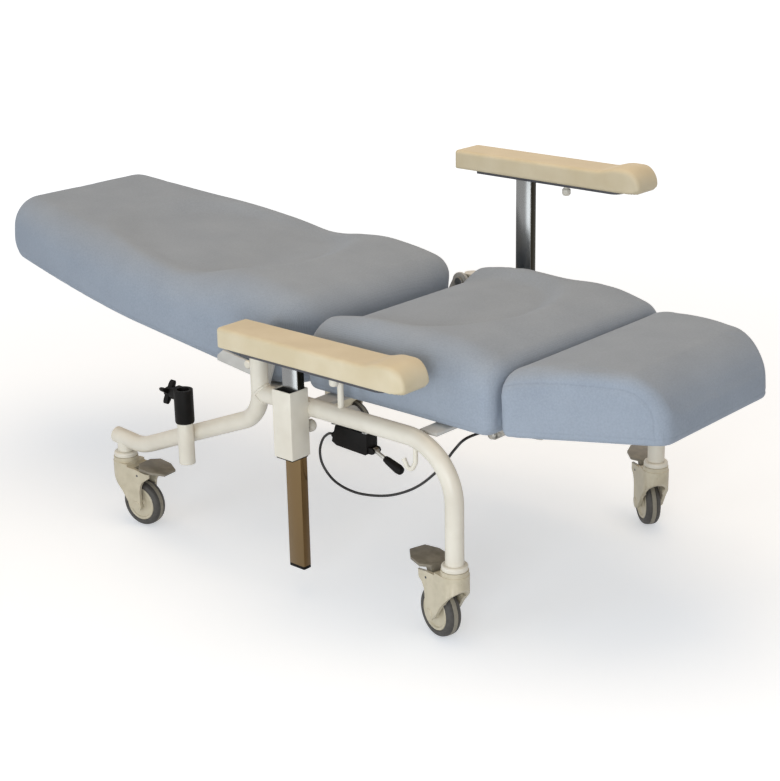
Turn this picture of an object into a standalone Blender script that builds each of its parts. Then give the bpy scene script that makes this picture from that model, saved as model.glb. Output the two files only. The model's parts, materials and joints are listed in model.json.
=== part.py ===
"""Patient rest chair on four braked castors, shown laid back.

Metres, +Z up, +X towards the foot end, -Y the left side of someone sitting in it.
The backrest and the leg rest turn on pivots across the frame, the armrests slide on
posts, and a gas spring under the seat is released by a lever through a cable.
"""
import math

import bmesh
import bpy
from mathutils import Matrix, Vector

# Clearances
SEAT_GAP = 0.0003
RUN_GAP = 0.0005
WELD_DEPTH = 0.002

# Frame tubes
TUBE_RADIUS = 0.0175
FRAME_HALF_WIDTH = 0.3245
FRONT_TUBE_Z = 0.386
FRONT_LEG_X = 0.541
FRONT_BEND_RADIUS = 0.108
RISER_X = 0.056
REAR_ELBOW_Z = 0.330
REAR_ELBOW_RADIUS = 0.075
REAR_BEND_X = -0.304
REAR_BEND_Z = 0.171
REAR_BEND_RADIUS = 0.110
REAR_END_X = -0.389
REAR_END_Z = 0.184
STOP_ROD_X = 0.272
STOP_ROD_RADIUS = 0.006

# Cross bars and rails under the seat
BAR_WIDTH = 0.040
BAR_THICKNESS = 0.006
FRONT_BAR_X = 0.467
REAR_BAR_X = 0.205
RAIL_HALF_SPACING = 0.150
RAIL_THICKNESS = 0.006
RAIL_HEIGHT = 0.024
RAIL_REAR_OVERHANG = 0.030

# Armrest sockets, posts and pads
SOCKET_X = 0.180
SOCKET_WIDTH = 0.048
SOCKET_WALL = 0.0025
SOCKET_LOW_Z = 0.2895
SOCKET_HIGH_Z = 0.423
LINER_TOP_RECESS = 0.002
LINER_FOOT_PROUD = 0.003
POST_DEPTH = 0.040
POST_WIDTH = 0.020
POST_OFFSET = 0.010
POST_LENGTH = 0.408
POST_CAP_HEIGHT = 0.006
ARM_REAR_X = 0.018
ARM_LENGTH = 0.464
ARM_WIDTH = 0.082
ARM_HEIGHT = 0.0405
ARM_LOW_Z = 0.478
ARM_TRAVEL = 0.2255
ARM_NOSE_RISE = 0.010
ARM_NOSE_LENGTH = 0.115
PLATE_WIDTH = 0.074
PLATE_THICKNESS = 0.005
PLATE_REAR_INSET = 0.059
PLATE_FRONT_INSET = 0.046
BUFFER_X = 0.284
BUFFER_RADIUS = 0.009
BUFFER_HEIGHT = 0.026

# Height lock: a sprung pull knob on the inner face of each socket
LOCK_Z = 0.335
LOCK_BODY_RADIUS = 0.008
LOCK_BODY_LENGTH = 0.016
LOCK_STEM_RADIUS = 0.004
LOCK_KNOB_RADIUS = 0.0125
LOCK_KNOB_LENGTH = 0.018

# Seat
SEAT_REAR_X = 0.124
SEAT_FRONT_X = 0.584
SEAT_SIDE_GAP = 0.0465
SEAT_LOW_Z = 0.388
SEAT_TOP_Z = 0.534
SEAT_DISH = 0.014
BOARD_THICKNESS = 0.012
BOARD_INSET = 0.034

# Backrest, drawn level about its pivot and then tilted
BACK_PIVOT_Z = 0.4655
BACK_TILT = math.radians(7.2)
BACK_LENGTH = 0.944
BACK_FOOT_REACH = 0.038
BACK_SIDE_GAP = 0.0565
BACK_HEAD_TAPER = 0.070
BACK_TAPER_START = 0.430
BACK_LOW = -0.1015
BACK_TOP = 0.0445
BACK_HEAD_FALL = 0.018
BACK_LUMBAR_RISE = 0.030
BACK_LUMBAR_CENTRE = -0.140
BACK_LUMBAR_SPREAD = 0.085
BACK_TROUGH = 0.022
BACK_TROUGH_HALF_WIDTH = 0.110
BACK_ARM_SIDE_GAP = 0.0175
BACK_ARM_THICKNESS = 0.006
BACK_ARM_WIDTH = 0.026
BACK_ARM_LENGTH = 0.145
BACK_EYE_RADIUS = 0.020
PIVOT_RADIUS = 0.006
PIVOT_HEAD_RADIUS = 0.010
PIVOT_HEAD_LENGTH = 0.006

# Leg rest, drawn level about its hinge and then tilted
LEG_HINGE_X = 0.549
LEG_HINGE_Z = 0.377
LEG_TILT = math.radians(4)
LEG_REAR = 0.043
LEG_FRONT = 0.336
LEG_SIDE_GAP = 0.0545
LEG_TAPER = 0.098
LEG_LOW = 0.011
LEG_TOP_REAR = 0.134
LEG_TOP_FRONT = 0.112
LEG_ARM_Y = 0.208
LEG_ARM_WIDTH = 0.030
LEG_ARM_THICKNESS = 0.005
LEG_ARM_LENGTH = 0.106
HINGE_RADIUS = 0.006
HINGE_EYE_RADIUS = 0.0105
HINGE_NUT_LENGTH = 0.008

# Gas spring from the front cross bar to the backrest crank
CRANK_RADIUS = 0.155
CRANK_LEAD = math.radians(30)
CRANK_THICKNESS = 0.005
CRANK_HEIGHT = 0.026
CRANK_REAR_REACH = 0.150
SPRING_RADIUS = 0.011
SPRING_ROD_RADIUS = 0.005
SPRING_LENGTH = 0.240
SPRING_EYE_RADIUS = 0.011
SPRING_EYE_WIDTH = 0.010
SPRING_EYE_NECK = 0.030
SPRING_ROD_DEPTH = 0.215
HEAD_LENGTH = 0.034
HEAD_WIDTH = 0.026

# Release lever on the left front tube, its cable and the bag hook
LEVER_BOX_REAR_X = 0.228
LEVER_BOX_FRONT_X = 0.317
LEVER_BOX_LOW_Z = 0.307
LEVER_BOX_HIGH_Z = 0.346
LEVER_BOX_WIDTH = 0.030
LEVER_PIVOT_X = 0.3245
LEVER_PIVOT_Z = 0.3125
LEVER_HUB_RADIUS = 0.006
LEVER_HUB_WIDTH = 0.012
LEVER_EAR_THICKNESS = 0.004
LEVER_ANGLE = math.radians(22)
LEVER_ROD_RADIUS = 0.0038
LEVER_ROD_LENGTH = 0.026
GRIP_LENGTH = 0.046
GRIP_RADIUS = 0.0095
STRAP_WIDTH = 0.018
STRAP_THICKNESS = 0.003
STRAP_HALF_SPAN = 0.034
CABLE_RADIUS = 0.0026
CABLE_NOSE_RADIUS = 0.0055
CABLE_NOSE_LENGTH = 0.010
CABLE_END_GAP = 0.001
HOOK_X = 0.452
HOOK_DROP = 0.030
HOOK_DEPTH = 0.056
HOOK_MOUTH = 0.028
HOOK_TIP_RISE = 0.027
HOOK_RADIUS = 0.0046
HOOK_WELD_GAP = 0.0006

# Pole holder on the left rear tube
POLE_X = -0.129
POLE_LOW_Z = 0.196
POLE_HIGH_Z = 0.271
POLE_OUTER_RADIUS = 0.0165
POLE_BORE_RADIUS = 0.0125
CLAMP_RADIUS = 0.0195
CLAMP_HEIGHT = 0.083
CLAMP_BOSS_RADIUS = 0.011
CLAMP_BOSS_REACH = 0.030
CLAMP_BOSS_DROP = 0.016
SCREW_RADIUS = 0.004
SCREW_DEPTH = 0.012
STAR_RADIUS = 0.025
STAR_LOBES = 4
STAR_THICKNESS = 0.014

# Castors
WHEEL_RADIUS = 0.050
WHEEL_SIDES = 20
WHEEL_WIDTH = 0.031
TYRE_INNER_RADIUS = 0.036
AXLE_RADIUS = 0.005
CASTOR_TRAIL = 0.045
CASTOR_TOP_Z = 0.158
CASTOR_COLLAR_RADIUS = 0.0205
CASTOR_NECK_Z = 0.142
FORK_CHEEK = 0.006
WHEEL_SIDE_GAP = 0.0025
WHEEL_TOP_GAP = 0.004
PEDAL_PIVOT_U = 0.053
PEDAL_PIVOT_Z = 0.122
PEDAL_PIN_RADIUS = 0.003
PEDAL_HUB_RADIUS = 0.007
PEDAL_REACH = 0.068
PEDAL_RISE = 0.018
PEDAL_UP = math.radians(5)
PEDAL_DOWN = math.radians(-8)
PEDAL_HALF_WIDTH = 0.034
PEDAL_THICKNESS = 0.005
REAR_STEM_X = -0.363
CASTORS = {
    "front_left": (math.radians(165), PEDAL_UP),
    "front_right": (math.radians(141), PEDAL_UP),
    "rear_left": (math.radians(7), PEDAL_DOWN),
    "rear_right": (math.radians(7), PEDAL_DOWN),
}

# Places that follow from the sizes above
AXLE_Z = WHEEL_RADIUS * math.cos(math.pi / WHEEL_SIDES)
SOCKET_Y = FRAME_HALF_WIDTH + TUBE_RADIUS - WELD_DEPTH + SOCKET_WIDTH / 2
POST_Y = SOCKET_Y - POST_OFFSET
PLATE_LOW_Z = ARM_LOW_Z - SEAT_GAP - PLATE_THICKNESS
RISER_TOP_Z = ARM_LOW_Z - 2 * RUN_GAP
BAR_HIGH_Z = SEAT_LOW_Z - SEAT_GAP
BAR_LOW_Z = BAR_HIGH_Z - BAR_THICKNESS
TUBE_INNER_Y = FRAME_HALF_WIDTH - TUBE_RADIUS
SEAT_HALF_WIDTH = FRAME_HALF_WIDTH - SEAT_SIDE_GAP
BACK_HALF_WIDTH = FRAME_HALF_WIDTH - BACK_SIDE_GAP
BACK_HEAD_HALF_WIDTH = BACK_HALF_WIDTH - BACK_HEAD_TAPER
BACK_ARM_INNER = TUBE_INNER_Y - BACK_ARM_SIDE_GAP - BACK_ARM_THICKNESS
LEG_HALF_WIDTH_REAR = FRAME_HALF_WIDTH - LEG_SIDE_GAP
LEG_HALF_WIDTH_FRONT = LEG_HALF_WIDTH_REAR - LEG_TAPER
LEVER_Y = -(TUBE_INNER_Y - SEAT_GAP - LEVER_BOX_WIDTH / 2)
CRANK_PIN = Vector((
    RISER_X + CRANK_RADIUS * math.sin(CRANK_LEAD), 0,
    BACK_PIVOT_Z - CRANK_RADIUS * math.cos(CRANK_LEAD)))
HEAD_FACE_Y = -HEAD_WIDTH / 2
POLE_Y = -(FRAME_HALF_WIDTH + TUBE_RADIUS - WELD_DEPTH + POLE_OUTER_RADIUS)
CLAMP_TOP_Z = POLE_HIGH_Z + SEAT_GAP + CLAMP_HEIGHT
SIDES = {"left": -1, "right": 1}

# The cable's hand-chosen route: lever box, hanging loop, then in under the seat to the spring's head.
# Each point is x, its share of the way across from the head to the lever, and z.
CABLE_ROUTE = (
    (0.217, 0.997, 0.319), (0.206, 0.994, 0.318), (0.186, 0.983, 0.301), (0.174, 0.972, 0.272),
    (0.179, 0.961, 0.242), (0.207, 0.951, 0.216), (0.256, 0.943, 0.206), (0.317, 0.936, 0.214),
    (0.368, 0.929, 0.232), (0.416, 0.922, 0.261), (0.462, 0.911, 0.305), (0.488, 0.893, 0.342),
    (0.500, 0.828, 0.362), (0.503, 0.670, 0.363), (0.500, 0.490, 0.357), (0.488, 0.238, 0.344),
    (0.473, 0.079, 0.3335), (0.467, 0.000, 0.3325),
)


def cable_point(index):
    """A point of the cable's route in place."""
    x, share, z = CABLE_ROUTE[index]
    end = HEAD_FACE_Y - CABLE_END_GAP
    return Vector((x, end + (LEVER_Y - end) * share, z))


def finish(name, colour, roughness, metallic=0.0):
    """A plain Principled material in the colour of one real finish."""
    material = bpy.data.materials.new(name)
    material.use_nodes = True
    shader = material.node_tree.nodes["Principled BSDF"]
    shader.inputs["Base Color"].default_value = (*colour, 1)
    shader.inputs["Roughness"].default_value = roughness
    shader.inputs["Metallic"].default_value = metallic
    return material


def finished(bm):
    """Close off a bmesh: outward faces, then a mesh."""
    bmesh.ops.remove_doubles(bm, verts=bm.verts, dist=1e-6)
    bmesh.ops.recalc_face_normals(bm, faces=bm.faces)
    mesh = bpy.data.meshes.new("shape")
    bm.to_mesh(mesh)
    bm.free()
    return mesh


def add(name, mesh, material, parent=None, location=(0, 0, 0), rotation=(0, 0, 0)):
    """Put one named sub-part into the scene."""
    if not mesh.materials:
        mesh.materials.append(material)
    mesh.shade_smooth()
    mesh.set_sharp_from_angle(angle=math.radians(35))
    obj = bpy.data.objects.new(name, mesh)
    bpy.context.collection.objects.link(obj)
    obj.parent = parent
    obj.location = location
    obj.rotation_euler = rotation
    return obj


def add_axis(name, location, rotation=(0, 0, 0)):
    """An empty on a joint's axis, to carry what turns about it."""
    empty = bpy.data.objects.new(name, None)
    bpy.context.collection.objects.link(empty)
    empty.location = location
    empty.rotation_euler = rotation
    return empty


def moved(mesh, matrix):
    """The mesh itself, carried to another place."""
    mesh.transform(matrix)
    if matrix.determinant() < 0:
        mesh.flip_normals()
    return mesh


def shifted(mesh, x=0, y=0, z=0):
    return moved(mesh, Matrix.Translation((x, y, z)))


def combined(first, second, operation):
    """A Boolean of two closed meshes, as a new mesh."""
    base = bpy.data.objects.new("base", first)
    tool = bpy.data.objects.new("tool", second)
    for obj in (base, tool):
        bpy.context.collection.objects.link(obj)
    modifier = base.modifiers.new("combined", "BOOLEAN")
    modifier.object = tool
    modifier.operation = operation
    graph = bpy.context.evaluated_depsgraph_get()
    result = bpy.data.meshes.new_from_object(base.evaluated_get(graph))
    for obj in (base, tool):
        bpy.data.objects.remove(obj)
    return result


def fused(meshes):
    """Overlapping closed meshes joined into one body."""
    result = meshes[0]
    for mesh in meshes[1:]:
        result = combined(result, mesh, "UNION")
    return result


def prism(outline, axis, low, high):
    """A closed outline in the two other axes, drawn along the given axis."""
    bm = bmesh.new()
    first, second = [index for index in range(3) if index != axis]
    corners = []
    for across, up in outline:
        point = Vector()
        point[axis] = low
        point[first] = across
        point[second] = up
        corners.append(bm.verts.new(point))
    face = bm.faces.new(corners)
    drawn = bmesh.ops.extrude_face_region(bm, geom=[face])
    offset = Vector()
    offset[axis] = high - low
    ends = [item for item in drawn["geom"] if isinstance(item, bmesh.types.BMVert)]
    bmesh.ops.translate(bm, verts=ends, vec=offset)
    return finished(bm)


def block(low, high):
    """A box between two corners."""
    outline = ((low[0], low[1]), (high[0], low[1]), (high[0], high[1]), (low[0], high[1]))
    return prism(outline, 2, low[2], high[2])


def arc(centre, radius, start, end, count):
    """Points along an arc, angles in degrees, both ends included."""
    angles = [math.radians(start + (end - start) * index / count) for index in range(count + 1)]
    return [(centre[0] + radius * math.cos(angle), centre[1] + radius * math.sin(angle)) for angle in angles]


def turned(profile, steps, ring=False):
    """A body of revolution about Z from (radius, height) points; a ring's profile is closed."""
    bm = bmesh.new()
    verts = [bm.verts.new((radius, 0, height)) for radius, height in profile]
    edges = [bm.edges.new(pair) for pair in zip(verts, verts[1:])]
    if ring:
        edges.append(bm.edges.new((verts[-1], verts[0])))
    bmesh.ops.spin(bm, geom=verts + edges, axis=(0, 0, 1), cent=(0, 0, 0), angle=math.tau, steps=steps)
    return finished(bm)


def rod(radius, low, high, steps=16):
    """A plain round bar along Z."""
    return turned(((0, low), (radius, low), (radius, high), (0, high)), steps)


def along(axis):
    """The turn that carries Z onto another direction."""
    return Vector((0, 0, 1)).rotation_difference(Vector(axis)).to_matrix().to_4x4()


def filleted(corners, radii, step=math.radians(10)):
    """A path through the corners with each inner corner bent to its radius."""
    corners = [Vector(corner) for corner in corners]
    path = [corners[0]]
    for before, corner, after, radius in zip(corners, corners[1:], corners[2:], radii):
        back = (before - corner).normalized()
        ahead = (after - corner).normalized()
        half = back.angle(ahead) / 2
        centre = corner + (back + ahead).normalized() * radius / math.sin(half)
        start = corner + back * radius / math.tan(half) - centre
        sweep = math.pi - 2 * half
        axis = (-back).cross(ahead).normalized()
        count = max(2, math.ceil(sweep / step))
        for index in range(count + 1):
            path.append(centre + Matrix.Rotation(sweep * index / count, 3, axis) @ start)
    path.append(corners[-1])
    return path


def tube(path, radius, resolution):
    """A round bar bent along a path, with flat ends."""
    curve = bpy.data.curves.new("tube", "CURVE")
    curve.dimensions = "3D"
    curve.bevel_depth = radius
    curve.bevel_resolution = resolution
    curve.use_fill_caps = True
    spline = curve.splines.new("POLY")
    spline.points.add(len(path) - 1)
    for slot, point in zip(spline.points, path):
        slot.co = (*point, 1)
    carrier = bpy.data.objects.new("tube", curve)
    mesh = bpy.data.meshes.new_from_object(carrier)
    bpy.data.objects.remove(carrier)
    bm = bmesh.new()
    bm.from_mesh(mesh)
    return finished(bm)


def smooth_step(value):
    """Eased ramp from 0 to 1."""
    value = min(max(value, 0), 1)
    return value * value * (3 - 2 * value)


def hump(value):
    """Bell curve of height 1."""
    return math.exp(-value * value)


def lofted(rings):
    """A closed skin through sections of equal count, with flat end faces."""
    bm = bmesh.new()
    rows = [[bm.verts.new(point) for point in ring] for ring in rings]
    for row, following in zip(rows, rows[1:]):
        for index in range(len(row)):
            after = (index + 1) % len(row)
            bm.faces.new((row[index], row[after], following[after], following[index]))
    bm.faces.new(rows[0])
    bm.faces.new(rows[-1])
    return finished(bm)


def padded_section(x, half_width, low, top, shoulder, foot, bulge, draw):
    """One section of a padded form at x. top gives the height at a distance from the middle,
    shoulder and foot are edge radii, and draw pulls the section in where an end rounds off."""
    half_width -= draw
    low += min(draw, foot)
    edge = half_width - shoulder
    side_top = top(edge) - draw - shoulder
    half = [(0, low)]
    half += arc((half_width - foot, low + foot), foot, -90, 0, 2)
    half.append((half_width + bulge, (low + foot + side_top) / 2))
    half += arc((edge, side_top), shoulder, 0, 90, 4)
    half += [(edge * share, top(edge * share) - draw) for share in (0.8, 0.6, 0.4, 0.2)]
    crest = (0, top(0) - draw)
    other = [(-y, z) for y, z in reversed(half[1:])]
    return [(x, y, z) for y, z in half + [crest] + other]


def padded(start, end, count, half_width, low, top, shoulder, foot, bulge, roll_start, roll_end):
    """A cushion along X: sections between two rounded ends."""
    quarter = [math.radians(angle) for angle in (12, 34, 58, 90)]
    rolled = [(1 - math.cos(angle), 1 - math.sin(angle)) for angle in quarter]
    stations = [(start + roll_start * run, roll_start * draw) for run, draw in rolled]
    first = start + roll_start
    last = end - roll_end
    stations += [(first + (last - first) * index / count, 0) for index in range(1, count)]
    stations += [(end - roll_end * run, roll_end * draw) for run, draw in reversed(rolled)]
    rings = []
    for x, draw in stations:
        rings.append(padded_section(
            x, half_width(x), low(x), lambda y, x=x: top(x, y), shoulder, foot, bulge, draw))
    return lofted(rings)


def front_tube(side):
    """Front leg, long bend and side tube in one. Welded to it: the armrest's socket outside and the
    armrest's stop rod on top."""
    y = side * FRAME_HALF_WIDTH
    corners = (
        (RISER_X + TUBE_RADIUS + SEAT_GAP, y, FRONT_TUBE_Z),
        (FRONT_LEG_X, y, FRONT_TUBE_Z),
        (FRONT_LEG_X, y, CASTOR_TOP_Z + SEAT_GAP),
    )
    bent = tube(filleted(corners, (FRONT_BEND_RADIUS,)), TUBE_RADIUS, 4)
    stop = shifted(rod(STOP_ROD_RADIUS, FRONT_TUBE_Z, PLATE_LOW_Z - SEAT_GAP, 12), STOP_ROD_X, y)
    return fused([bent, post_socket(side), stop])


def rear_tube(side):
    """Riser, elbow and sloping rear leg in one, with the stub that takes the castor. The pole
    holder is welded to the left one."""
    y = side * FRAME_HALF_WIDTH
    corners = (
        (RISER_X, y, RISER_TOP_Z),
        (RISER_X, y, REAR_ELBOW_Z),
        (REAR_BEND_X, y, REAR_BEND_Z),
        (REAR_END_X, y, REAR_END_Z),
    )
    bent = tube(filleted(corners, (REAR_ELBOW_RADIUS, REAR_BEND_RADIUS)), TUBE_RADIUS, 4)
    stub = shifted(rod(TUBE_RADIUS * 0.94, CASTOR_TOP_Z + SEAT_GAP, REAR_BEND_Z), REAR_STEM_X, y)
    pieces = [bent, stub]
    if side < 0:
        pieces.append(pole_holder())
    return fused(pieces)


def eye_bar(eye_radius, hole_radius, outline, low, high):
    """A flat bar in the XZ plane with a bored round eye at the origin."""
    eye = moved(rod(eye_radius, low, high, 20), along((0, -1, 0)))
    eye = shifted(eye, y=low + high)
    bar = prism(outline, 1, low, high)
    hole = moved(rod(hole_radius, low - 0.01, high + 0.01, 16), along((0, -1, 0)))
    hole = shifted(hole, y=low + high)
    return combined(fused([bar, eye]), hole, "DIFFERENCE")


def seat_frame():
    """Welded under the seat: two flat bars across, two rails on edge below them that are bored at
    the front for the leg rest's hinge rod, and the lug for the gas spring."""
    reach = TUBE_INNER_Y - SEAT_GAP
    pieces = []
    for x in (FRONT_BAR_X, REAR_BAR_X):
        pieces.append(block((x - BAR_WIDTH / 2, -reach, BAR_LOW_Z), (x + BAR_WIDTH / 2, reach, BAR_HIGH_Z)))
    lug_half = BAR_WIDTH * 0.35
    pieces.append(block(
        (FRONT_BAR_X - lug_half, -HEAD_WIDTH * 0.7, CRANK_PIN.z + HEAD_WIDTH / 2 + SEAT_GAP),
        (FRONT_BAR_X + lug_half, HEAD_WIDTH * 0.7, BAR_LOW_Z + WELD_DEPTH)))
    top = BAR_LOW_Z + WELD_DEPTH - LEG_HINGE_Z
    rear = REAR_BAR_X - BAR_WIDTH / 2 - RAIL_REAR_OVERHANG - LEG_HINGE_X
    outline = ((rear, top - RAIL_HEIGHT), (0, -HINGE_EYE_RADIUS), (0, top), (rear, top))
    for side in SIDES.values():
        middle = side * RAIL_HALF_SPACING
        bar = eye_bar(HINGE_EYE_RADIUS, HINGE_RADIUS + RUN_GAP, outline,
                      middle - RAIL_THICKNESS / 2, middle + RAIL_THICKNESS / 2)
        pieces.append(shifted(bar, LEG_HINGE_X, 0, LEG_HINGE_Z))
    return fused(pieces)


def hinge_rod():
    """The leg rest's hinge rod, with a round nut at each end."""
    reach = LEG_ARM_Y + LEG_ARM_WIDTH / 2 + SEAT_GAP
    nut = HINGE_RADIUS * 1.3
    profile = (
        (0, -reach - HINGE_NUT_LENGTH), (nut, -reach - HINGE_NUT_LENGTH), (nut, -reach),
        (HINGE_RADIUS, -reach), (HINGE_RADIUS, reach), (nut, reach),
        (nut, reach + HINGE_NUT_LENGTH), (0, reach + HINGE_NUT_LENGTH),
    )
    return moved(turned(profile, 16), Matrix.Translation((LEG_HINGE_X, 0, LEG_HINGE_Z)) @ along((0, 1, 0)))


def back_pivot_bolt(side):
    """Shouldered bolt from a riser through the backrest's arm."""
    arm_outer = BACK_ARM_INNER + BACK_ARM_THICKNESS
    profile = (
        (0, BACK_ARM_INNER - SEAT_GAP - PIVOT_HEAD_LENGTH),
        (PIVOT_HEAD_RADIUS, BACK_ARM_INNER - SEAT_GAP - PIVOT_HEAD_LENGTH),
        (PIVOT_HEAD_RADIUS, BACK_ARM_INNER - SEAT_GAP), (PIVOT_RADIUS, BACK_ARM_INNER - SEAT_GAP),
        (PIVOT_RADIUS, arm_outer + SEAT_GAP), (PIVOT_HEAD_RADIUS, arm_outer + SEAT_GAP),
        (PIVOT_HEAD_RADIUS, TUBE_INNER_Y - SEAT_GAP), (0, TUBE_INNER_Y - SEAT_GAP),
    )
    place = Matrix.Translation((RISER_X, 0, BACK_PIVOT_Z)) @ along((0, side, 0))
    return moved(turned(profile, 16), place)


def post_socket(side):
    """Square tube welded to the outside of the front tube."""
    half = SOCKET_WIDTH / 2
    bore = half - SOCKET_WALL
    outer = block((-half, -half, SOCKET_LOW_Z), (half, half, SOCKET_HIGH_Z))
    inner = block((-bore, -bore, SOCKET_LOW_Z - 0.01), (bore, bore, SOCKET_HIGH_Z + 0.01))
    return shifted(combined(outer, inner, "DIFFERENCE"), SOCKET_X, side * SOCKET_Y)


def socket_liner(side):
    """Plastic guide in a socket; its slot for the post sits to the inner side."""
    half = SOCKET_WIDTH / 2 - SOCKET_WALL - SEAT_GAP
    slot_x = POST_DEPTH / 2 + RUN_GAP
    slot_y = POST_WIDTH / 2 + RUN_GAP
    low = SOCKET_LOW_Z - LINER_FOOT_PROUD
    high = SOCKET_HIGH_Z - LINER_TOP_RECESS
    middle = -side * POST_OFFSET
    plug = block((-half, -half, low), (half, half, high))
    slot = block((-slot_x, middle - slot_y, low - 0.01), (slot_x, middle + slot_y, high + 0.01))
    return shifted(combined(plug, slot, "DIFFERENCE"), SOCKET_X, side * SOCKET_Y)


def lock_place(side):
    """Inner face of a socket, with Z pointing to the middle of the chair."""
    y = side * (SOCKET_Y - SOCKET_WIDTH / 2 - SEAT_GAP)
    return Matrix.Translation((SOCKET_X, y, LOCK_Z)) @ along((0, -side, 0))


def lock_body():
    """Threaded body of a height lock, bored for the knob's stem, along Z from the socket's face."""
    bore = LOCK_STEM_RADIUS + RUN_GAP
    collar = LOCK_BODY_RADIUS * 1.25
    profile = (
        (0, 0), (collar, 0), (collar, LOCK_BODY_LENGTH * 0.35), (LOCK_BODY_RADIUS, LOCK_BODY_LENGTH * 0.35),
        (LOCK_BODY_RADIUS, LOCK_BODY_LENGTH), (bore, LOCK_BODY_LENGTH), (bore, LOCK_BODY_LENGTH * 0.15),
        (0, LOCK_BODY_LENGTH * 0.15),
    )
    return turned(profile, 12)


def lock_knob():
    """Round pull knob with the stem that runs in the lock's body, from the body's foot along Z."""
    face = LOCK_BODY_LENGTH + RUN_GAP
    end = face + LOCK_KNOB_LENGTH
    profile = (
        (0, LOCK_BODY_LENGTH * 0.15 + RUN_GAP), (LOCK_STEM_RADIUS, LOCK_BODY_LENGTH * 0.15 + RUN_GAP),
        (LOCK_STEM_RADIUS, face), (LOCK_KNOB_RADIUS * 0.72, face),
        (LOCK_KNOB_RADIUS, face + LOCK_KNOB_LENGTH * 0.35), (LOCK_KNOB_RADIUS, end - LOCK_KNOB_LENGTH * 0.25),
        (LOCK_KNOB_RADIUS * 0.75, end), (0, end),
    )
    return turned(profile, 16)


def armrest_pad():
    """Moulded pad over its plate, with a raised rounded nose. Rear end at x 0, underside at z 0."""
    nose_start = ARM_LENGTH - ARM_NOSE_LENGTH

    def top(x, y):
        rise = ARM_NOSE_RISE * smooth_step((x - nose_start) / (ARM_NOSE_LENGTH * 0.5))
        crown = 0.003 * (1 - (2 * y / ARM_WIDTH) ** 2)
        return ARM_HEIGHT - 0.003 + crown + rise

    def low(x):
        return 0.007 * smooth_step((x - ARM_LENGTH + 0.040) / 0.040)

    return padded(0, ARM_LENGTH, 12, lambda x: ARM_WIDTH / 2, low, top, 0.012, 0.003, 0.0, 0.007, 0.016)


def armrest_plate():
    """Steel plate under the pad, rounded at its front corners, between the pad's ends."""
    low = PLATE_REAR_INSET
    high = ARM_LENGTH - PLATE_FRONT_INSET
    half = PLATE_WIDTH / 2
    corner = PLATE_WIDTH * 0.25
    outline = [(low, -half)]
    outline += arc((high - corner, -half + corner), corner, -90, 0, 4)
    outline += arc((high - corner, half - corner), corner, 0, 90, 4)
    outline.append((low, half))
    return prism(outline, 2, -PLATE_THICKNESS, 0)


def armrest_buffer():
    """Round buffer under the plate, on a narrower neck. Top at z 0."""
    neck = BUFFER_RADIUS * 0.6
    profile = (
        (0, 0), (neck, 0), (neck, -BUFFER_HEIGHT * 0.4), (BUFFER_RADIUS, -BUFFER_HEIGHT * 0.5),
        (BUFFER_RADIUS, -BUFFER_HEIGHT * 0.85), (BUFFER_RADIUS * 0.7, -BUFFER_HEIGHT), (0, -BUFFER_HEIGHT),
    )
    return turned(profile[::-1], 14)


def bevelled_bar(half_x, half_y, corner, low, high):
    """Upright rectangular bar with rounded corners."""
    outline = []
    for sign_x, sign_y, start in ((1, 1, 0), (-1, 1, 90), (-1, -1, 180), (1, -1, 270)):
        centre = (sign_x * (half_x - corner), sign_y * (half_y - corner))
        outline += arc(centre, corner, start, start + 90, 2)
    return prism(outline, 2, low, high)


def add_armrest(name, side, lift, finishes):
    """One armrest on its post, lifted above its lowest place."""
    y = side * POST_Y
    plate_z = ARM_LOW_Z - SEAT_GAP
    axis = add_axis("armrest_axis_" + name, (SOCKET_X, y, lift))
    rear = ARM_REAR_X - SOCKET_X
    post_top = PLATE_LOW_Z - SEAT_GAP
    post_low = post_top - POST_LENGTH
    add("armrest_pad_" + name, armrest_pad(), finishes["cream"], axis, (rear, 0, ARM_LOW_Z))
    add("armrest_plate_" + name, armrest_plate(), finishes["dark_steel"], axis, (rear, 0, plate_z))
    post = bevelled_bar(POST_DEPTH / 2, POST_WIDTH / 2, 0.0025, post_low, post_top)
    add("armrest_post_" + name, post, finishes["chrome"], axis)
    cap = bevelled_bar(POST_DEPTH / 2, POST_WIDTH / 2, 0.0025, post_low - SEAT_GAP - POST_CAP_HEIGHT,
                       post_low - SEAT_GAP)
    add("armrest_post_cap_" + name, cap, finishes["black"], axis)
    buffer_z = PLATE_LOW_Z - SEAT_GAP
    buffer_place = (BUFFER_X - SOCKET_X, 0, buffer_z)
    add("armrest_buffer_" + name, armrest_buffer(), finishes["white"], axis, buffer_place)


def seat_cushion():
    """Seat with drawn-in sides, a crown at the rims and a shallow dish."""
    length = SEAT_FRONT_X - SEAT_REAR_X

    def half_width(x):
        return SEAT_HALF_WIDTH - 0.005 * math.sin(math.pi * (x - SEAT_REAR_X) / length)

    def top(x, y):
        share = (x - SEAT_REAR_X) / length
        dish = SEAT_DISH * math.sin(math.pi * share) ** 0.8 * hump(y / (SEAT_HALF_WIDTH * 0.62))
        return SEAT_TOP_Z - dish - 0.010 * smooth_step((share - 0.8) / 0.2)

    return padded(SEAT_REAR_X, SEAT_FRONT_X, 11, half_width, lambda x: SEAT_LOW_Z, top,
                  0.034, 0.012, 0.003, 0.022, 0.044)


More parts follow.
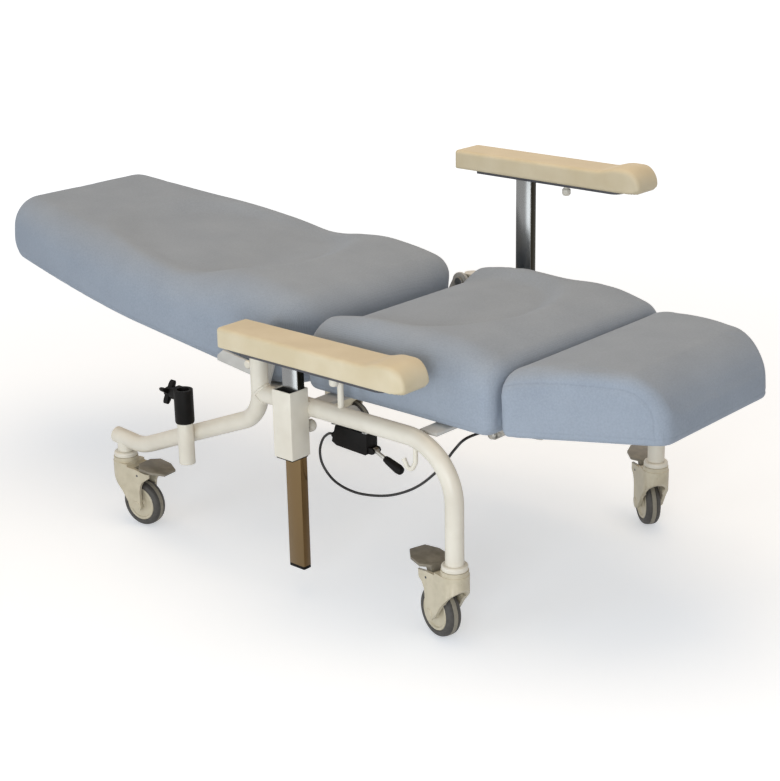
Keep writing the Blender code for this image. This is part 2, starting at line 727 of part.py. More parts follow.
def board(low_x, high_x, half_low, half_high, low_z, grown=0.0):
    """Plywood base of a cushion: a tapered board with cut corners. Grown, it is the pocket it sits in."""
    cut = 0.030
    low_x -= grown
    high_x += grown
    half_low += grown
    half_high += grown
    outline = (
        (low_x + cut, -half_low), (high_x - cut, -half_high),
        (high_x, cut - half_high), (high_x, half_high - cut),
        (high_x - cut, half_high), (low_x + cut, half_low),
        (low_x, half_low - cut), (low_x, cut - half_low),
    )
    return prism(outline, 2, low_z - grown * 10, low_z + BOARD_THICKNESS + grown)


def with_pocket(cushion, sizes):
    """A cushion with its board's pocket cut into its underside."""
    return combined(cushion, board(*sizes, grown=SEAT_GAP), "DIFFERENCE")


def back_half_width(x):
    """Half width of the backrest: parallel at the hips, drawn in towards the head."""
    run = BACK_LENGTH - BACK_TAPER_START
    share = min(max((-x - BACK_TAPER_START) / run, 0), 1)
    return BACK_HALF_WIDTH - (BACK_HALF_WIDTH - BACK_HEAD_HALF_WIDTH) * share ** 1.5


def backrest_cushion():
    """Backrest about its pivot: a long trough between side rims, and a lumbar roll."""

    def top(x, y):
        lumbar = BACK_LUMBAR_RISE * hump((x - BACK_LUMBAR_CENTRE) / BACK_LUMBAR_SPREAD)
        along_back = smooth_step((-x - 0.17) / 0.14) * smooth_step((x + BACK_LENGTH - 0.07) / 0.20)
        trough = BACK_TROUGH * along_back * hump((y / BACK_TROUGH_HALF_WIDTH) ** 2)
        fall = 0.016 * smooth_step((x + 0.075) / 0.10)
        head_fall = BACK_HEAD_FALL * min(-x / BACK_LENGTH, 1)
        return BACK_TOP + lumbar - trough - fall - head_fall

    return padded(-BACK_LENGTH, BACK_FOOT_REACH, 16, back_half_width, lambda x: BACK_LOW, top,
                  0.040, 0.022, 0.003, 0.050, 0.040)


def backrest_frame():
    """Welded steel: two side arms with pivot eyes, a cross flat under the board, and the spring's crank."""
    low = BACK_LOW - SEAT_GAP
    arm_outer = BACK_ARM_INNER + BACK_ARM_THICKNESS
    base = low - BAR_THICKNESS
    arm_low = base + BACK_ARM_WIDTH
    arm_high = arm_low + BACK_ARM_WIDTH
    flat_front = -BACK_EYE_RADIUS * 0.25
    flat_rear = flat_front - BAR_WIDTH
    outline = (
        (BACK_EYE_RADIUS, 0), (flat_front, base), (flat_rear, base), (flat_rear, arm_low),
        (-BACK_ARM_LENGTH, arm_low), (-BACK_ARM_LENGTH, arm_low + BACK_ARM_WIDTH * 0.45),
        (-BACK_ARM_LENGTH + BACK_ARM_WIDTH * 0.55, arm_high), (flat_rear + 0.004, arm_high),
        (-BACK_EYE_RADIUS, 0),
    )
    pieces = []
    for side in SIDES.values():
        faces = sorted((side * BACK_ARM_INNER, side * arm_outer))
        pieces.append(eye_bar(BACK_EYE_RADIUS, PIVOT_RADIUS + RUN_GAP, outline, *faces))
    inset = BACK_ARM_THICKNESS / 2
    pieces.append(block((flat_rear, inset - arm_outer, base), (flat_front, arm_outer - inset, low)))
    level = Matrix.Rotation(-BACK_TILT, 4, "Y")
    pin = level @ (CRANK_PIN - Vector((RISER_X, 0, BACK_PIVOT_Z)))
    inner = SPRING_EYE_WIDTH / 2 + SEAT_GAP
    for side in SIDES.values():
        faces = sorted((side * inner, side * (inner + CRANK_THICKNESS)))
        crank = [(-CRANK_REAR_REACH, low), (-CRANK_REAR_REACH, low - CRANK_HEIGHT * 0.5)]
        crank += arc((pin.x, pin.z), CRANK_HEIGHT / 2, -90, 60, 6)
        crank.append((0, low))
        pieces.append(prism(crank, 1, *faces))
    return fused(pieces)


def leg_half_width(x):
    """Half width of the leg rest, narrowing to the foot end."""
    share = (x - LEG_REAR) / (LEG_FRONT - LEG_REAR)
    return LEG_HALF_WIDTH_REAR + (LEG_HALF_WIDTH_FRONT - LEG_HALF_WIDTH_REAR) * share


def legrest_cushion():
    """Leg rest about its hinge: tapered in plan, crowned, falling to the foot end."""

    def half_width(x):
        share = (x - LEG_REAR) / (LEG_FRONT - LEG_REAR)
        return leg_half_width(x) - 0.004 * math.sin(math.pi * share)

    def top(x, y):
        share = (x - LEG_REAR) / (LEG_FRONT - LEG_REAR)
        crown = 0.006 * (1 - (y / LEG_HALF_WIDTH_REAR) ** 2)
        return LEG_TOP_REAR + (LEG_TOP_FRONT - LEG_TOP_REAR) * share ** 1.6 + crown

    return padded(LEG_REAR, LEG_FRONT, 9, half_width, lambda x: LEG_LOW, top,
                  0.034, 0.012, 0.003, 0.026, 0.036)


def legrest_arm(side):
    """Flat arm rolled round the hinge rod and screwed to the leg rest's board."""
    high = LEG_LOW - SEAT_GAP
    low = high - LEG_ARM_THICKNESS
    outline = ((0, low), (LEG_ARM_LENGTH, low), (LEG_ARM_LENGTH, high), (0, high))
    middle = side * LEG_ARM_Y
    return eye_bar(HINGE_EYE_RADIUS, HINGE_RADIUS + RUN_GAP, outline,
                   middle - LEG_ARM_WIDTH / 2, middle + LEG_ARM_WIDTH / 2)


def gas_spring_rod():
    """Spring rod with the release head that hangs on the front cross bar."""
    half = HEAD_LENGTH / 2
    tip = FRONT_BAR_X - half - SPRING_ROD_DEPTH
    shaft = moved(rod(SPRING_ROD_RADIUS, tip, FRONT_BAR_X, 12), along((1, 0, 0)))
    low = (FRONT_BAR_X - half, HEAD_FACE_Y, -HEAD_WIDTH / 2)
    high = (FRONT_BAR_X + half, -HEAD_FACE_Y, HEAD_WIDTH / 2)
    head = block(low, high)
    return shifted(fused([shaft, head]), z=CRANK_PIN.z)


def gas_spring_cylinder():
    """Spring cylinder from its eye on the crank pin, bored for the rod and open at the front."""
    bore = SPRING_ROD_RADIUS + RUN_GAP
    end = SPRING_EYE_NECK + SPRING_LENGTH
    profile = (
        (0, SPRING_EYE_NECK), (SPRING_RADIUS * 0.8, SPRING_EYE_NECK),
        (SPRING_RADIUS, SPRING_EYE_NECK + 0.004), (SPRING_RADIUS, end - 0.003),
        (SPRING_RADIUS * 0.8, end), (bore, end),
        (bore, SPRING_EYE_NECK + 0.012), (0, SPRING_EYE_NECK + 0.012),
    )
    barrel = moved(turned(profile, 16), along((1, 0, 0)))
    half = SPRING_EYE_WIDTH / 2
    neck_end = SPRING_EYE_NECK + 0.004
    outline = [(neck_end, -SPRING_EYE_RADIUS * 0.7), (neck_end, SPRING_EYE_RADIUS * 0.7)]
    outline += arc((0, 0), SPRING_EYE_RADIUS, 60, 300, 10)
    return fused([barrel, prism(outline, 1, -half, half)])


def lever_box():
    """Moulded lever housing with a sloping belly, pivot ears and the cable's nose."""
    half = LEVER_BOX_WIDTH / 2
    outline = (
        (LEVER_BOX_REAR_X, LEVER_BOX_LOW_Z + 0.006), (LEVER_BOX_REAR_X + 0.012, LEVER_BOX_LOW_Z),
        (LEVER_BOX_FRONT_X - 0.004, LEVER_BOX_LOW_Z - 0.003), (LEVER_BOX_FRONT_X, LEVER_BOX_LOW_Z),
        (LEVER_BOX_FRONT_X, LEVER_BOX_HIGH_Z), (LEVER_BOX_REAR_X + 0.010, LEVER_BOX_HIGH_Z),
    )
    pieces = [prism(outline, 1, LEVER_Y - half, LEVER_Y + half)]
    ear_outline = [(LEVER_BOX_FRONT_X - 0.006, LEVER_PIVOT_Z + LEVER_HUB_RADIUS),
                   (LEVER_BOX_FRONT_X - 0.006, LEVER_PIVOT_Z - LEVER_HUB_RADIUS)]
    ear_outline += arc((LEVER_PIVOT_X, LEVER_PIVOT_Z), LEVER_HUB_RADIUS, -90, 90, 6)
    for side in SIDES.values():
        near = side * (LEVER_HUB_WIDTH / 2 + RUN_GAP)
        far = near + side * LEVER_EAR_THICKNESS
        pieces.append(prism(ear_outline, 1, LEVER_Y + min(near, far), LEVER_Y + max(near, far)))
    start = cable_point(0)
    nose = moved(rod(CABLE_NOSE_RADIUS, SEAT_GAP, CABLE_NOSE_LENGTH + 0.006, 12), along((1, 0, 0)))
    pieces.append(shifted(nose, *start))
    return fused(pieces)


def lever_strap():
    """Arched steel strap that hangs the lever box on the inner side of the front tube."""
    low = LEVER_BOX_HIGH_Z + SEAT_GAP
    rise = FRONT_TUBE_Z - low
    middle = (LEVER_BOX_REAR_X + LEVER_BOX_FRONT_X) / 2
    steps = 10
    outer = []
    inner = []
    for index in range(steps + 1):
        share = index / steps
        x = middle - STRAP_HALF_SPAN + 2 * STRAP_HALF_SPAN * share
        height = rise * math.sin(math.pi * share) ** 0.7
        outer.append((x, low + STRAP_THICKNESS + height))
        inner.append((x, low + height))
    foot = STRAP_HALF_SPAN * 0.3
    top = low + STRAP_THICKNESS
    outer = [(outer[0][0] - foot, top)] + outer + [(outer[-1][0] + foot, top)]
    inner = [(inner[0][0] - foot, low)] + inner + [(inner[-1][0] + foot, low)]
    edge = -(TUBE_INNER_Y - SEAT_GAP)
    return prism(outer + inner[::-1], 1, edge, edge + STRAP_WIDTH)


def release_lever():
    """Lever shank on its hub, straight along X from the pivot."""
    hub = moved(rod(LEVER_HUB_RADIUS, -LEVER_HUB_WIDTH / 2, LEVER_HUB_WIDTH / 2, 14), along((0, 1, 0)))
    shank = moved(rod(LEVER_ROD_RADIUS, 0, LEVER_ROD_LENGTH, 10), along((1, 0, 0)))
    return fused([hub, shank])


def lever_grip():
    """Moulded grip on the lever's end, swelling to its tip."""
    start = LEVER_ROD_LENGTH + SEAT_GAP
    end = start + GRIP_LENGTH
    profile = (
        (0, start), (GRIP_RADIUS * 0.62, start), (GRIP_RADIUS * 0.8, start + GRIP_LENGTH * 0.2),
        (GRIP_RADIUS, end - GRIP_LENGTH * 0.25), (GRIP_RADIUS * 0.82, end - GRIP_LENGTH * 0.06),
        (GRIP_RADIUS * 0.4, end), (0, end),
    )
    return moved(turned(profile, 14), along((1, 0, 0)))


def bag_hook():
    """Round wire hook under the left front tube, open to the rear."""
    y = -FRAME_HALF_WIDTH
    top = FRONT_TUBE_Z - TUBE_RADIUS
    inner_bend = FRONT_BEND_RADIUS - TUBE_RADIUS
    into_bend = max(HOOK_X + HOOK_RADIUS - FRONT_LEG_X + FRONT_BEND_RADIUS, 0)
    seat = top - inner_bend + math.sqrt(inner_bend ** 2 - into_bend ** 2) - HOOK_WELD_GAP
    corners = (
        (HOOK_X, y, seat), (HOOK_X, y, top - HOOK_DROP),
        (HOOK_X - HOOK_MOUTH / 2, y, top - HOOK_DEPTH),
        (HOOK_X - HOOK_MOUTH, y, top - HOOK_DEPTH + HOOK_TIP_RISE),
    )
    return tube(filleted(corners, (0.012, 0.009), math.radians(22)), HOOK_RADIUS, 3)


def cable():
    """The release cable: a smooth curve through its route's points."""
    points = [cable_point(index) for index in range(len(CABLE_ROUTE))]
    run = [points[0] * 2 - points[1]] + points + [points[-1] * 2 - points[-2]]
    path = []
    for before, start, end, after in zip(run, run[1:], run[2:], run[3:]):
        count = max(1, round((end - start).length / (CABLE_RADIUS * 6)))
        for index in range(count):
            t = index / count
            bend = 2 * before - 5 * start + 4 * end - after
            twist = 3 * start - before - 3 * end + after
            path.append(0.5 * (2 * start + (end - before) * t + bend * t ** 2 + twist * t ** 3))
    path.append(points[-1])
    curve = bpy.data.curves.new("release_cable", "CURVE")
    curve.dimensions = "3D"
    curve.bevel_depth = CABLE_RADIUS
    curve.bevel_resolution = 2
    curve.use_fill_caps = True
    spline = curve.splines.new("POLY")
    spline.points.add(len(path) - 1)
    for slot, point in zip(spline.points, path):
        slot.co = (*point, 1)
    return curve


def pole_holder():
    """Open tube beside the left rear tube, for a pole."""
    profile = (
        (POLE_OUTER_RADIUS, POLE_HIGH_Z), (POLE_OUTER_RADIUS, POLE_LOW_Z),
        (POLE_BORE_RADIUS, POLE_LOW_Z), (POLE_BORE_RADIUS, POLE_HIGH_Z),
    )
    return shifted(turned(profile, 20, ring=True), POLE_X, POLE_Y)


def pole_clamp():
    """Clamp head over the holder, with a boss for the clamp screw on its rear side."""
    low = POLE_HIGH_Z + SEAT_GAP
    profile = (
        (CLAMP_RADIUS * 0.92, CLAMP_TOP_Z), (CLAMP_RADIUS, CLAMP_TOP_Z - 0.006), (CLAMP_RADIUS, low + 0.006),
        (CLAMP_RADIUS * 0.88, low), (POLE_BORE_RADIUS, low), (POLE_BORE_RADIUS, CLAMP_TOP_Z),
    )
    body = turned(profile, 20, ring=True)
    screw_z = CLAMP_TOP_Z - CLAMP_BOSS_DROP
    boss = moved(rod(CLAMP_BOSS_RADIUS, POLE_BORE_RADIUS + 0.0035, CLAMP_BOSS_REACH, 16), along((-1, 0, 0)))
    body = fused([body, shifted(boss, z=screw_z)])
    hole_start = CLAMP_BOSS_REACH - SCREW_DEPTH - RUN_GAP
    hole = moved(rod(SCREW_RADIUS + RUN_GAP, hole_start, CLAMP_BOSS_REACH + 0.01, 12), along((-1, 0, 0)))
    return shifted(combined(body, shifted(hole, z=screw_z), "DIFFERENCE"), POLE_X, POLE_Y)


def pole_knob():
    """Lobed knob with its clamp screw, about the screw's axis; the boss face is at z 0."""
    outline = []
    steps = STAR_LOBES * 10
    for index in range(steps):
        angle = math.tau * index / steps
        lobe = (0.5 + 0.5 * math.cos(STAR_LOBES * angle)) ** 1.6
        radius = STAR_RADIUS * (0.44 + 0.56 * lobe)
        outline.append((radius * math.cos(angle), radius * math.sin(angle)))
    star = prism(outline, 2, 0.004, 0.004 + STAR_THICKNESS)
    hub = rod(STAR_RADIUS * 0.36, RUN_GAP, 0.004 + STAR_THICKNESS * 1.2, 14)
    screw = rod(SCREW_RADIUS, -SCREW_DEPTH, 0.002, 12)
    return fused([star, hub, screw])


def castor_fork():
    """Moulded castor body about its swivel axis: round-fronted hood, cheeks, collar, axle and pedal pin."""
    half = WHEEL_WIDTH / 2 + WHEEL_SIDE_GAP + FORK_CHEEK
    boss = 0.012
    rear = PEDAL_PIVOT_U + 0.025
    outline = [(-half, CASTOR_NECK_Z), (-half, AXLE_Z + 0.060), (-half + 0.005, AXLE_Z + 0.044)]
    outline += [(0.003, AXLE_Z + 0.019), (0.026, AXLE_Z - 0.006)]
    outline += arc((CASTOR_TRAIL, AXLE_Z), boss, 235, 390, 7)
    outline += [(CASTOR_TRAIL + 0.011, AXLE_Z + 0.036), (CASTOR_TRAIL + 0.018, AXLE_Z + 0.056)]
    outline += [(rear, PEDAL_PIVOT_Z - 0.006), (rear, PEDAL_PIVOT_Z + 0.003), (half, CASTOR_NECK_Z - 0.006)]
    outline += [(half, CASTOR_NECK_Z)]
    side = prism(outline, 1, -half - 0.01, half + 0.01)
    round_front = [(rear + 0.01, half)] + arc((0, 0), half, 90, 270, 12) + [(rear + 0.01, -half)]
    body = combined(side, prism(round_front, 2, 0, CASTOR_TOP_Z), "INTERSECT")
    collar = rod(CASTOR_COLLAR_RADIUS, CASTOR_NECK_Z - 0.006, CASTOR_TOP_Z, 18)
    body = fused([body, collar])
    slot_half = WHEEL_WIDTH / 2 + WHEEL_SIDE_GAP
    slot = moved(rod(WHEEL_RADIUS + WHEEL_TOP_GAP, -slot_half, slot_half, 24), along((0, 1, 0)))
    body = combined(body, shifted(slot, CASTOR_TRAIL, 0, AXLE_Z), "DIFFERENCE")
    well = block((PEDAL_PIVOT_U - PEDAL_HUB_RADIUS * 2, -slot_half, AXLE_Z + WHEEL_RADIUS * 0.7),
                 (rear + 0.02, slot_half, CASTOR_NECK_Z + 0.01))
    body = combined(body, well, "DIFFERENCE")
    axle = moved(rod(AXLE_RADIUS, -half - 0.002, half + 0.002, 12), along((0, 1, 0)))
    pin = moved(rod(PEDAL_PIN_RADIUS, -half - 0.001, half + 0.001, 10), along((0, 1, 0)))
    axle = shifted(axle, CASTOR_TRAIL, 0, AXLE_Z)
    pin = shifted(pin, PEDAL_PIVOT_U, 0, PEDAL_PIVOT_Z)
    return fused([body, axle, pin])


def wheel_hub():
    """Wheel centre about its axle: rim, dished web and bored boss."""
    half = WHEEL_WIDTH / 2
    rim = TYRE_INNER_RADIUS
    bore = AXLE_RADIUS + RUN_GAP
    profile = (
        (rim, half * 0.80), (rim, -half * 0.80), (rim * 0.85, -half * 0.80), (rim * 0.55, -half * 0.40),
        (rim * 0.33, -half), (bore, -half), (bore, half),
        (rim * 0.33, half), (rim * 0.55, half * 0.40), (rim * 0.85, half * 0.80),
    )
    turn = Matrix.Rotation(math.pi / WHEEL_SIDES, 4, "Y") @ along((0, 1, 0))
    return moved(turned(profile, WHEEL_SIDES, ring=True), turn)


def wheel_tyre():
    """Tyre about its axle, flat across the tread with rounded shoulders."""
    half = WHEEL_WIDTH / 2
    inner = TYRE_INNER_RADIUS + SEAT_GAP
    profile = (
        (WHEEL_RADIUS, half * 0.45), (WHEEL_RADIUS, -half * 0.45), (WHEEL_RADIUS - 0.003, -half * 0.80),
        (WHEEL_RADIUS - 0.008, -half), (inner, -half * 0.80),
        (inner, half * 0.80), (WHEEL_RADIUS - 0.008, half), (WHEEL_RADIUS - 0.003, half * 0.80),
    )
    turn = Matrix.Rotation(math.pi / WHEEL_SIDES, 4, "Y") @ along((0, 1, 0))
    return moved(turned(profile, WHEEL_SIDES, ring=True), turn)


def brake_pedal():
    """Brake pedal about its pin: a bored hub between the cheeks, an arm, and a winged plate above them."""
    half = WHEEL_WIDTH / 2 + WHEEL_SIDE_GAP - RUN_GAP
    root = PEDAL_HUB_RADIUS * 1.6
    arm = [(PEDAL_HUB_RADIUS, 0), (root + 0.008, PEDAL_RISE), (-PEDAL_HUB_RADIUS * 0.4, PEDAL_RISE)]
    arm += arc((0, 0), PEDAL_HUB_RADIUS, 150, 360, 8)[:-1]
    body = prism(arm, 1, -half, half)
    outline = [(-PEDAL_HUB_RADIUS * 0.4, -half), (root, -PEDAL_HALF_WIDTH)]
    outline += [(PEDAL_REACH * 0.62, -PEDAL_HALF_WIDTH * 0.95), (PEDAL_REACH, -PEDAL_HALF_WIDTH * 0.5)]
    outline += [(x, -y) for x, y in reversed(outline)]
    wing = prism(outline, 2, PEDAL_RISE - PEDAL_THICKNESS / 2, PEDAL_RISE + PEDAL_THICKNESS / 2)
    bore = moved(rod(PEDAL_PIN_RADIUS + RUN_GAP, -half - 0.01, half + 0.01, 12), along((0, 1, 0)))
    return combined(fused([body, wing]), bore, "DIFFERENCE")


def add_castor(name, x, y, angle, press, meshes, finishes):
    """One castor turned to its angle, with its wheel and its brake pedal up or down."""
    white = finishes["castor_white"]
    swivel = add("castor_fork_" + name, meshes["fork"], white, None, (x, y, 0), (0, 0, angle))
    hub_place = (CASTOR_TRAIL, 0, AXLE_Z)
    add("wheel_hub_" + name, meshes["hub"], white, swivel, hub_place)
    add("wheel_tyre_" + name, meshes["tyre"], finishes["tyre"], swivel, hub_place)
    pedal_place = (PEDAL_PIVOT_U, 0, PEDAL_PIVOT_Z)
    add("brake_pedal_" + name, meshes["pedal"], finishes["grey_brown"], swivel, pedal_place, (0, -press, 0))


def build():
    for obj in list(bpy.data.objects):
        bpy.data.objects.remove(obj)

    finishes = {
        "white": finish("white_powder_coat", (0.78, 0.75, 0.69), 0.4),
        "steel": finish("zinc_steel", (0.46, 0.46, 0.44), 0.4, 1.0),
        "dark_steel": finish("dark_steel", (0.12, 0.12, 0.13), 0.5, 0.6),
        "chrome": finish("chromed_post", (0.62, 0.58, 0.52), 0.12, 1.0),
        "black": finish("black_plastic", (0.012, 0.012, 0.012), 0.45),
        "cream": finish("cream_polyurethane", (0.78, 0.68, 0.48), 0.5),
        "blue": finish("blue_grey_upholstery", (0.30, 0.37, 0.47), 0.7),
        "wood": finish("birch_board", (0.55, 0.40, 0.24), 0.6),
        "castor_white": finish("castor_nylon", (0.76, 0.72, 0.63), 0.45),
        "tyre": finish("grey_tyre", (0.045, 0.045, 0.048), 0.6),
        "grey_brown": finish("pedal_plastic", (0.15, 0.13, 0.11), 0.55),
    }

    for name, side in SIDES.items():
        add("front_tube_" + name, front_tube(side), finishes["white"])
        add("rear_tube_" + name, rear_tube(side), finishes["white"])
        add("socket_liner_" + name, socket_liner(side), finishes["black"])
        add("back_pivot_bolt_" + name, back_pivot_bolt(side), finishes["steel"])
    add("seat_frame", seat_frame(), finishes["steel"])
    add("hinge_rod", hinge_rod(), finishes["steel"])
    add("bag_hook", bag_hook(), finishes["white"])

    half = SEAT_HALF_WIDTH - BOARD_INSET
    sizes = (SEAT_REAR_X + BOARD_INSET, SEAT_FRONT_X - BOARD_INSET, half, half, SEAT_LOW_Z)
    add("seat_board", board(*sizes), finishes["wood"])
    add("seat_cushion", with_pocket(seat_cushion(), sizes), finishes["blue"])

    back_axis = add_axis("backrest_axis", (RISER_X, 0, BACK_PIVOT_Z), (0, BACK_TILT, 0))
    head = BOARD_INSET * 1.6 - BACK_LENGTH
    sizes = (head, BACK_FOOT_REACH - BOARD_INSET * 1.6, back_half_width(head) - BOARD_INSET,
             BACK_HALF_WIDTH - BOARD_INSET, BACK_LOW)
    add("backrest_board", board(*sizes), finishes["wood"], back_axis)
    add("backrest_cushion", with_pocket(backrest_cushion(), sizes), finishes["blue"], back_axis)
    add("backrest_frame", backrest_frame(), finishes["steel"], back_axis)

    leg_axis = add_axis("legrest_axis", (LEG_HINGE_X, 0, LEG_HINGE_Z), (0, -LEG_TILT, 0))
    foot = LEG_FRONT - BOARD_INSET
    sizes = (LEG_REAR + BOARD_INSET, foot, leg_half_width(LEG_REAR + BOARD_INSET) - BOARD_INSET,
             leg_half_width(foot) - BOARD_INSET, LEG_LOW)
    add("legrest_board", board(*sizes), finishes["wood"], leg_axis)
    add("legrest_cushion", with_pocket(legrest_cushion(), sizes), finishes["blue"], leg_axis)
    for name, side in SIDES.items():
        add("legrest_arm_" + name, legrest_arm(side), finishes["steel"], leg_axis)

    for name, lift in (("left", 0), ("right", ARM_TRAVEL)):
        add_armrest(name, SIDES[name], lift, finishes)
    for name, side in SIDES.items():
        place = lock_place(side)
        add("lock_body_" + name, lock_body(), finishes["black"], None, place.translation, place.to_euler())
        add("lock_knob_" + name, lock_knob(), finishes["white"], None, place.translation, place.to_euler())

    add("gas_spring_rod", gas_spring_rod(), finishes["black"])
    add("gas_spring_cylinder", gas_spring_cylinder(), finishes["black"], None, CRANK_PIN)

    add("lever_box", lever_box(), finishes["black"])
    add("lever_strap", lever_strap(), finishes["steel"])
    lever_axis = add_axis("lever_axis", (LEVER_PIVOT_X, LEVER_Y, LEVER_PIVOT_Z), (0, LEVER_ANGLE, 0))
    add("release_lever", release_lever(), finishes["steel"], lever_axis)
    add("lever_grip", lever_grip(), finishes["black"], lever_axis)
    cable_object = bpy.data.objects.new("release_cable", cable())
    cable_object.data.materials.append(finishes["black"])
    bpy.context.collection.objects.link(cable_object)

    add("pole_clamp", pole_clamp(), finishes["black"])
    screw_face = Vector((POLE_X - CLAMP_BOSS_REACH, POLE_Y, CLAMP_TOP_Z - CLAMP_BOSS_DROP))
    add("pole_knob", pole_knob(), finishes["black"], None, screw_face, along((-1, 0, 0)).to_euler())

    meshes = {"fork": castor_fork(), "hub": wheel_hub(), "tyre": wheel_tyre(), "pedal": brake_pedal()}
    for name, (angle, press) in CASTORS.items():
        end, name_side = name.split("_")
        x = FRONT_LEG_X if end == "front" else REAR_STEM_X
        add_castor(name, x, SIDES[name_side] * FRAME_HALF_WIDTH, angle, press, meshes, finishes)


build()
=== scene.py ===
"""Looks of the patient rest chair: covers, pads, coated tubes, castors and fittings on the fixed frame."""
import json
import math

import bpy
import numpy as np
from mathutils import Matrix, Vector
from mathutils.bvhtree import BVHTree


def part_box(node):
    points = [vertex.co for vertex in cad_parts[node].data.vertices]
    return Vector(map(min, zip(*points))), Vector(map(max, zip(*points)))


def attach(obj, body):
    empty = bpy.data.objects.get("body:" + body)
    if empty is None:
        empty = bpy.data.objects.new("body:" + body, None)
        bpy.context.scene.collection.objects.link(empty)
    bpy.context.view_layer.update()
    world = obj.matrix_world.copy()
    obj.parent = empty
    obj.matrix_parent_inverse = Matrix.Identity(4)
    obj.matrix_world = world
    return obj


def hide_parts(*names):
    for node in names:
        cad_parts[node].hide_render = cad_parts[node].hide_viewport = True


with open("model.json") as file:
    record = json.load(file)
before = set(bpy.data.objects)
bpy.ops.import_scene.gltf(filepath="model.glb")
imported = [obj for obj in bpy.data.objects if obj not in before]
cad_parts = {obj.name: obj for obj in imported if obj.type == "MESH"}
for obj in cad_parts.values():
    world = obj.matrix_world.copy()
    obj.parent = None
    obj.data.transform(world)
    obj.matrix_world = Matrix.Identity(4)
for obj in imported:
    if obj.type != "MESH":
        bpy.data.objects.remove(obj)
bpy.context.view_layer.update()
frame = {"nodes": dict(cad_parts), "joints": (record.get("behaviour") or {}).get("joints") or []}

SIDES = {"left": -1, "right": 1}
CORNERS = ("front_left", "front_right", "rear_left", "rear_right")
MM = 0.001
TOUCH_GAP = 0.0003
joints = {joint["name"]: joint for joint in frame["joints"]}

# Photo's camera, in metres, degrees and photo pixels
CAMERA_PLACE = (2.3016, -2.4467, 1.43796)
CAMERA_AZIMUTH = 41.951
CAMERA_ELEVATION = 19.034
CAMERA_ROLL = -1.149
FOCAL_PIXELS = 1693.87
PHOTO_HEIGHT = 781
SENSOR_HEIGHT = 36

# Frame tubes
TUBE_RADIUS = 0.0175
TUBE_SIDES = 40
SWEPT_RADIUS = TUBE_RADIUS * 0.998
STUB_RADIUS = TUBE_RADIUS * 0.94
PLUG_RADIUS = TUBE_RADIUS * 0.9
FRAME_HALF_WIDTH = 0.3245
FRONT_TUBE_Z = 0.378
FRONT_LEG_X = 0.541
FRONT_BEND_RADIUS = 0.108
RISER_X = 0.0585
REAR_ELBOW_Z = 0.330
REAR_ELBOW_RADIUS = 0.075
REAR_BEND = (-0.304, 0.182)
REAR_BEND_RADIUS = 0.110
REAR_END = (-0.387, 0.188)
REAR_STEM_X = -0.363
CASTOR_TOP_Z = 0.158

# Welds, sockets, stop rods and bag hook
WELD_RADIUS = 0.0032
WELD_RIPPLE = 0.14
WELD_STEP = 2.1
WELD_HEIGHT = TUBE_RADIUS * 0.75
SADDLE_POINTS = 56
SOCKET_X = 0.180
SOCKET_WIDTH = 0.048
SOCKET_WALL = 0.0025
SOCKET_SINK = 0.002
SOCKET_RIM = 0.002
LINER_FOOT = 0.003
STOP_ROD_X = 0.272
STOP_ROD_RADIUS = 0.006
HOOK_RADIUS = 0.0046
HOOK_BENDS = ((0.452, 0.004), (0.452, -0.030), (0.438, -0.056), (0.424, -0.029))
HOOK_BEND_RADII = (0.012, 0.009)

# Pole holder and clamp, star knob, and the screw caps on the backrest's arms
POLE_BORE_RADIUS = 0.0125
HOLDER_RADIUS = 0.0165
HOLDER_LOW_Z = 0.196
CLAMP_RADIUS = 0.0195
CLAMP_FOOT_RADIUS = 0.0187
CLAMP_FOOT = 0.004
CLAMP_LIFT = 0.012
CLAMP_RIM = 0.002
CLAMP_BOSS_RADIUS = 0.0125
CLAMP_BOSS_ROOT = 0.014
STAR_RADIUS = 0.025
STAR_WAIST = 0.36
STAR_LOBES = 4
STAR_TURN = 0.5
STAR_HUB_RADIUS = 0.0095
CAP_X = -0.006
CAP_Z = 0.413
CAP_RADIUS = 0.0085
CAP_RISE = 0.007

# Castors, about the swivel axis: the trail runs along X
AXLE = (0.045, 0.0493844)
FORK_HALF = 0.0272
FORK_END_RADIUS = 0.013
SLOT_RADIUS = 0.054
SLOT_HALF = 0.0205
SLOT_EDGE = 0.011
ARCH_Z = 0.0905
ARCH_RADIUS = 0.0195
WELL_X = 0.039
WELL_Z = AXLE[1] + 0.035
BOSS_RADIUS = 0.0098
RIVET = (0.053, 0.1185)
RIVET_RADIUS = 0.0024
TYRE_RADIUS = 0.0492
TYRE_INNER_RADIUS = 0.0363
SHOULDER_RADIUS = 0.0095
WHEEL_HALF = 0.0155
TREAD_HALF = 0.0042

# Heights of the cushions' rims along X, each in its own frame, read off the photo's outline
SEAT_CREST = (
    (0.100, 0.494), (0.130, 0.514), (0.160, 0.5255), (0.200, 0.534), (0.260, 0.5415), (0.385, 0.541),
    (0.460, 0.5425), (0.500, 0.539), (0.550, 0.5275), (0.593, 0.514))
BACK_CREST = (
    (-0.950, 0.034), (-0.807, 0.036), (-0.700, 0.0385), (-0.600, 0.043), (-0.500, 0.0465),
    (-0.410, 0.049), (-0.320, 0.0485), (-0.265, 0.055), (-0.215, 0.0665), (-0.150, 0.0785),
    (-0.100, 0.0805), (-0.050, 0.080), (-0.005, 0.0765), (0.050, 0.070))
LEG_CREST = (
    (0.0436, 0.126), (0.079, 0.1340), (0.120, 0.138), (0.160, 0.139), (0.200, 0.138), (0.243, 0.1355),
    (0.335, 0.127))

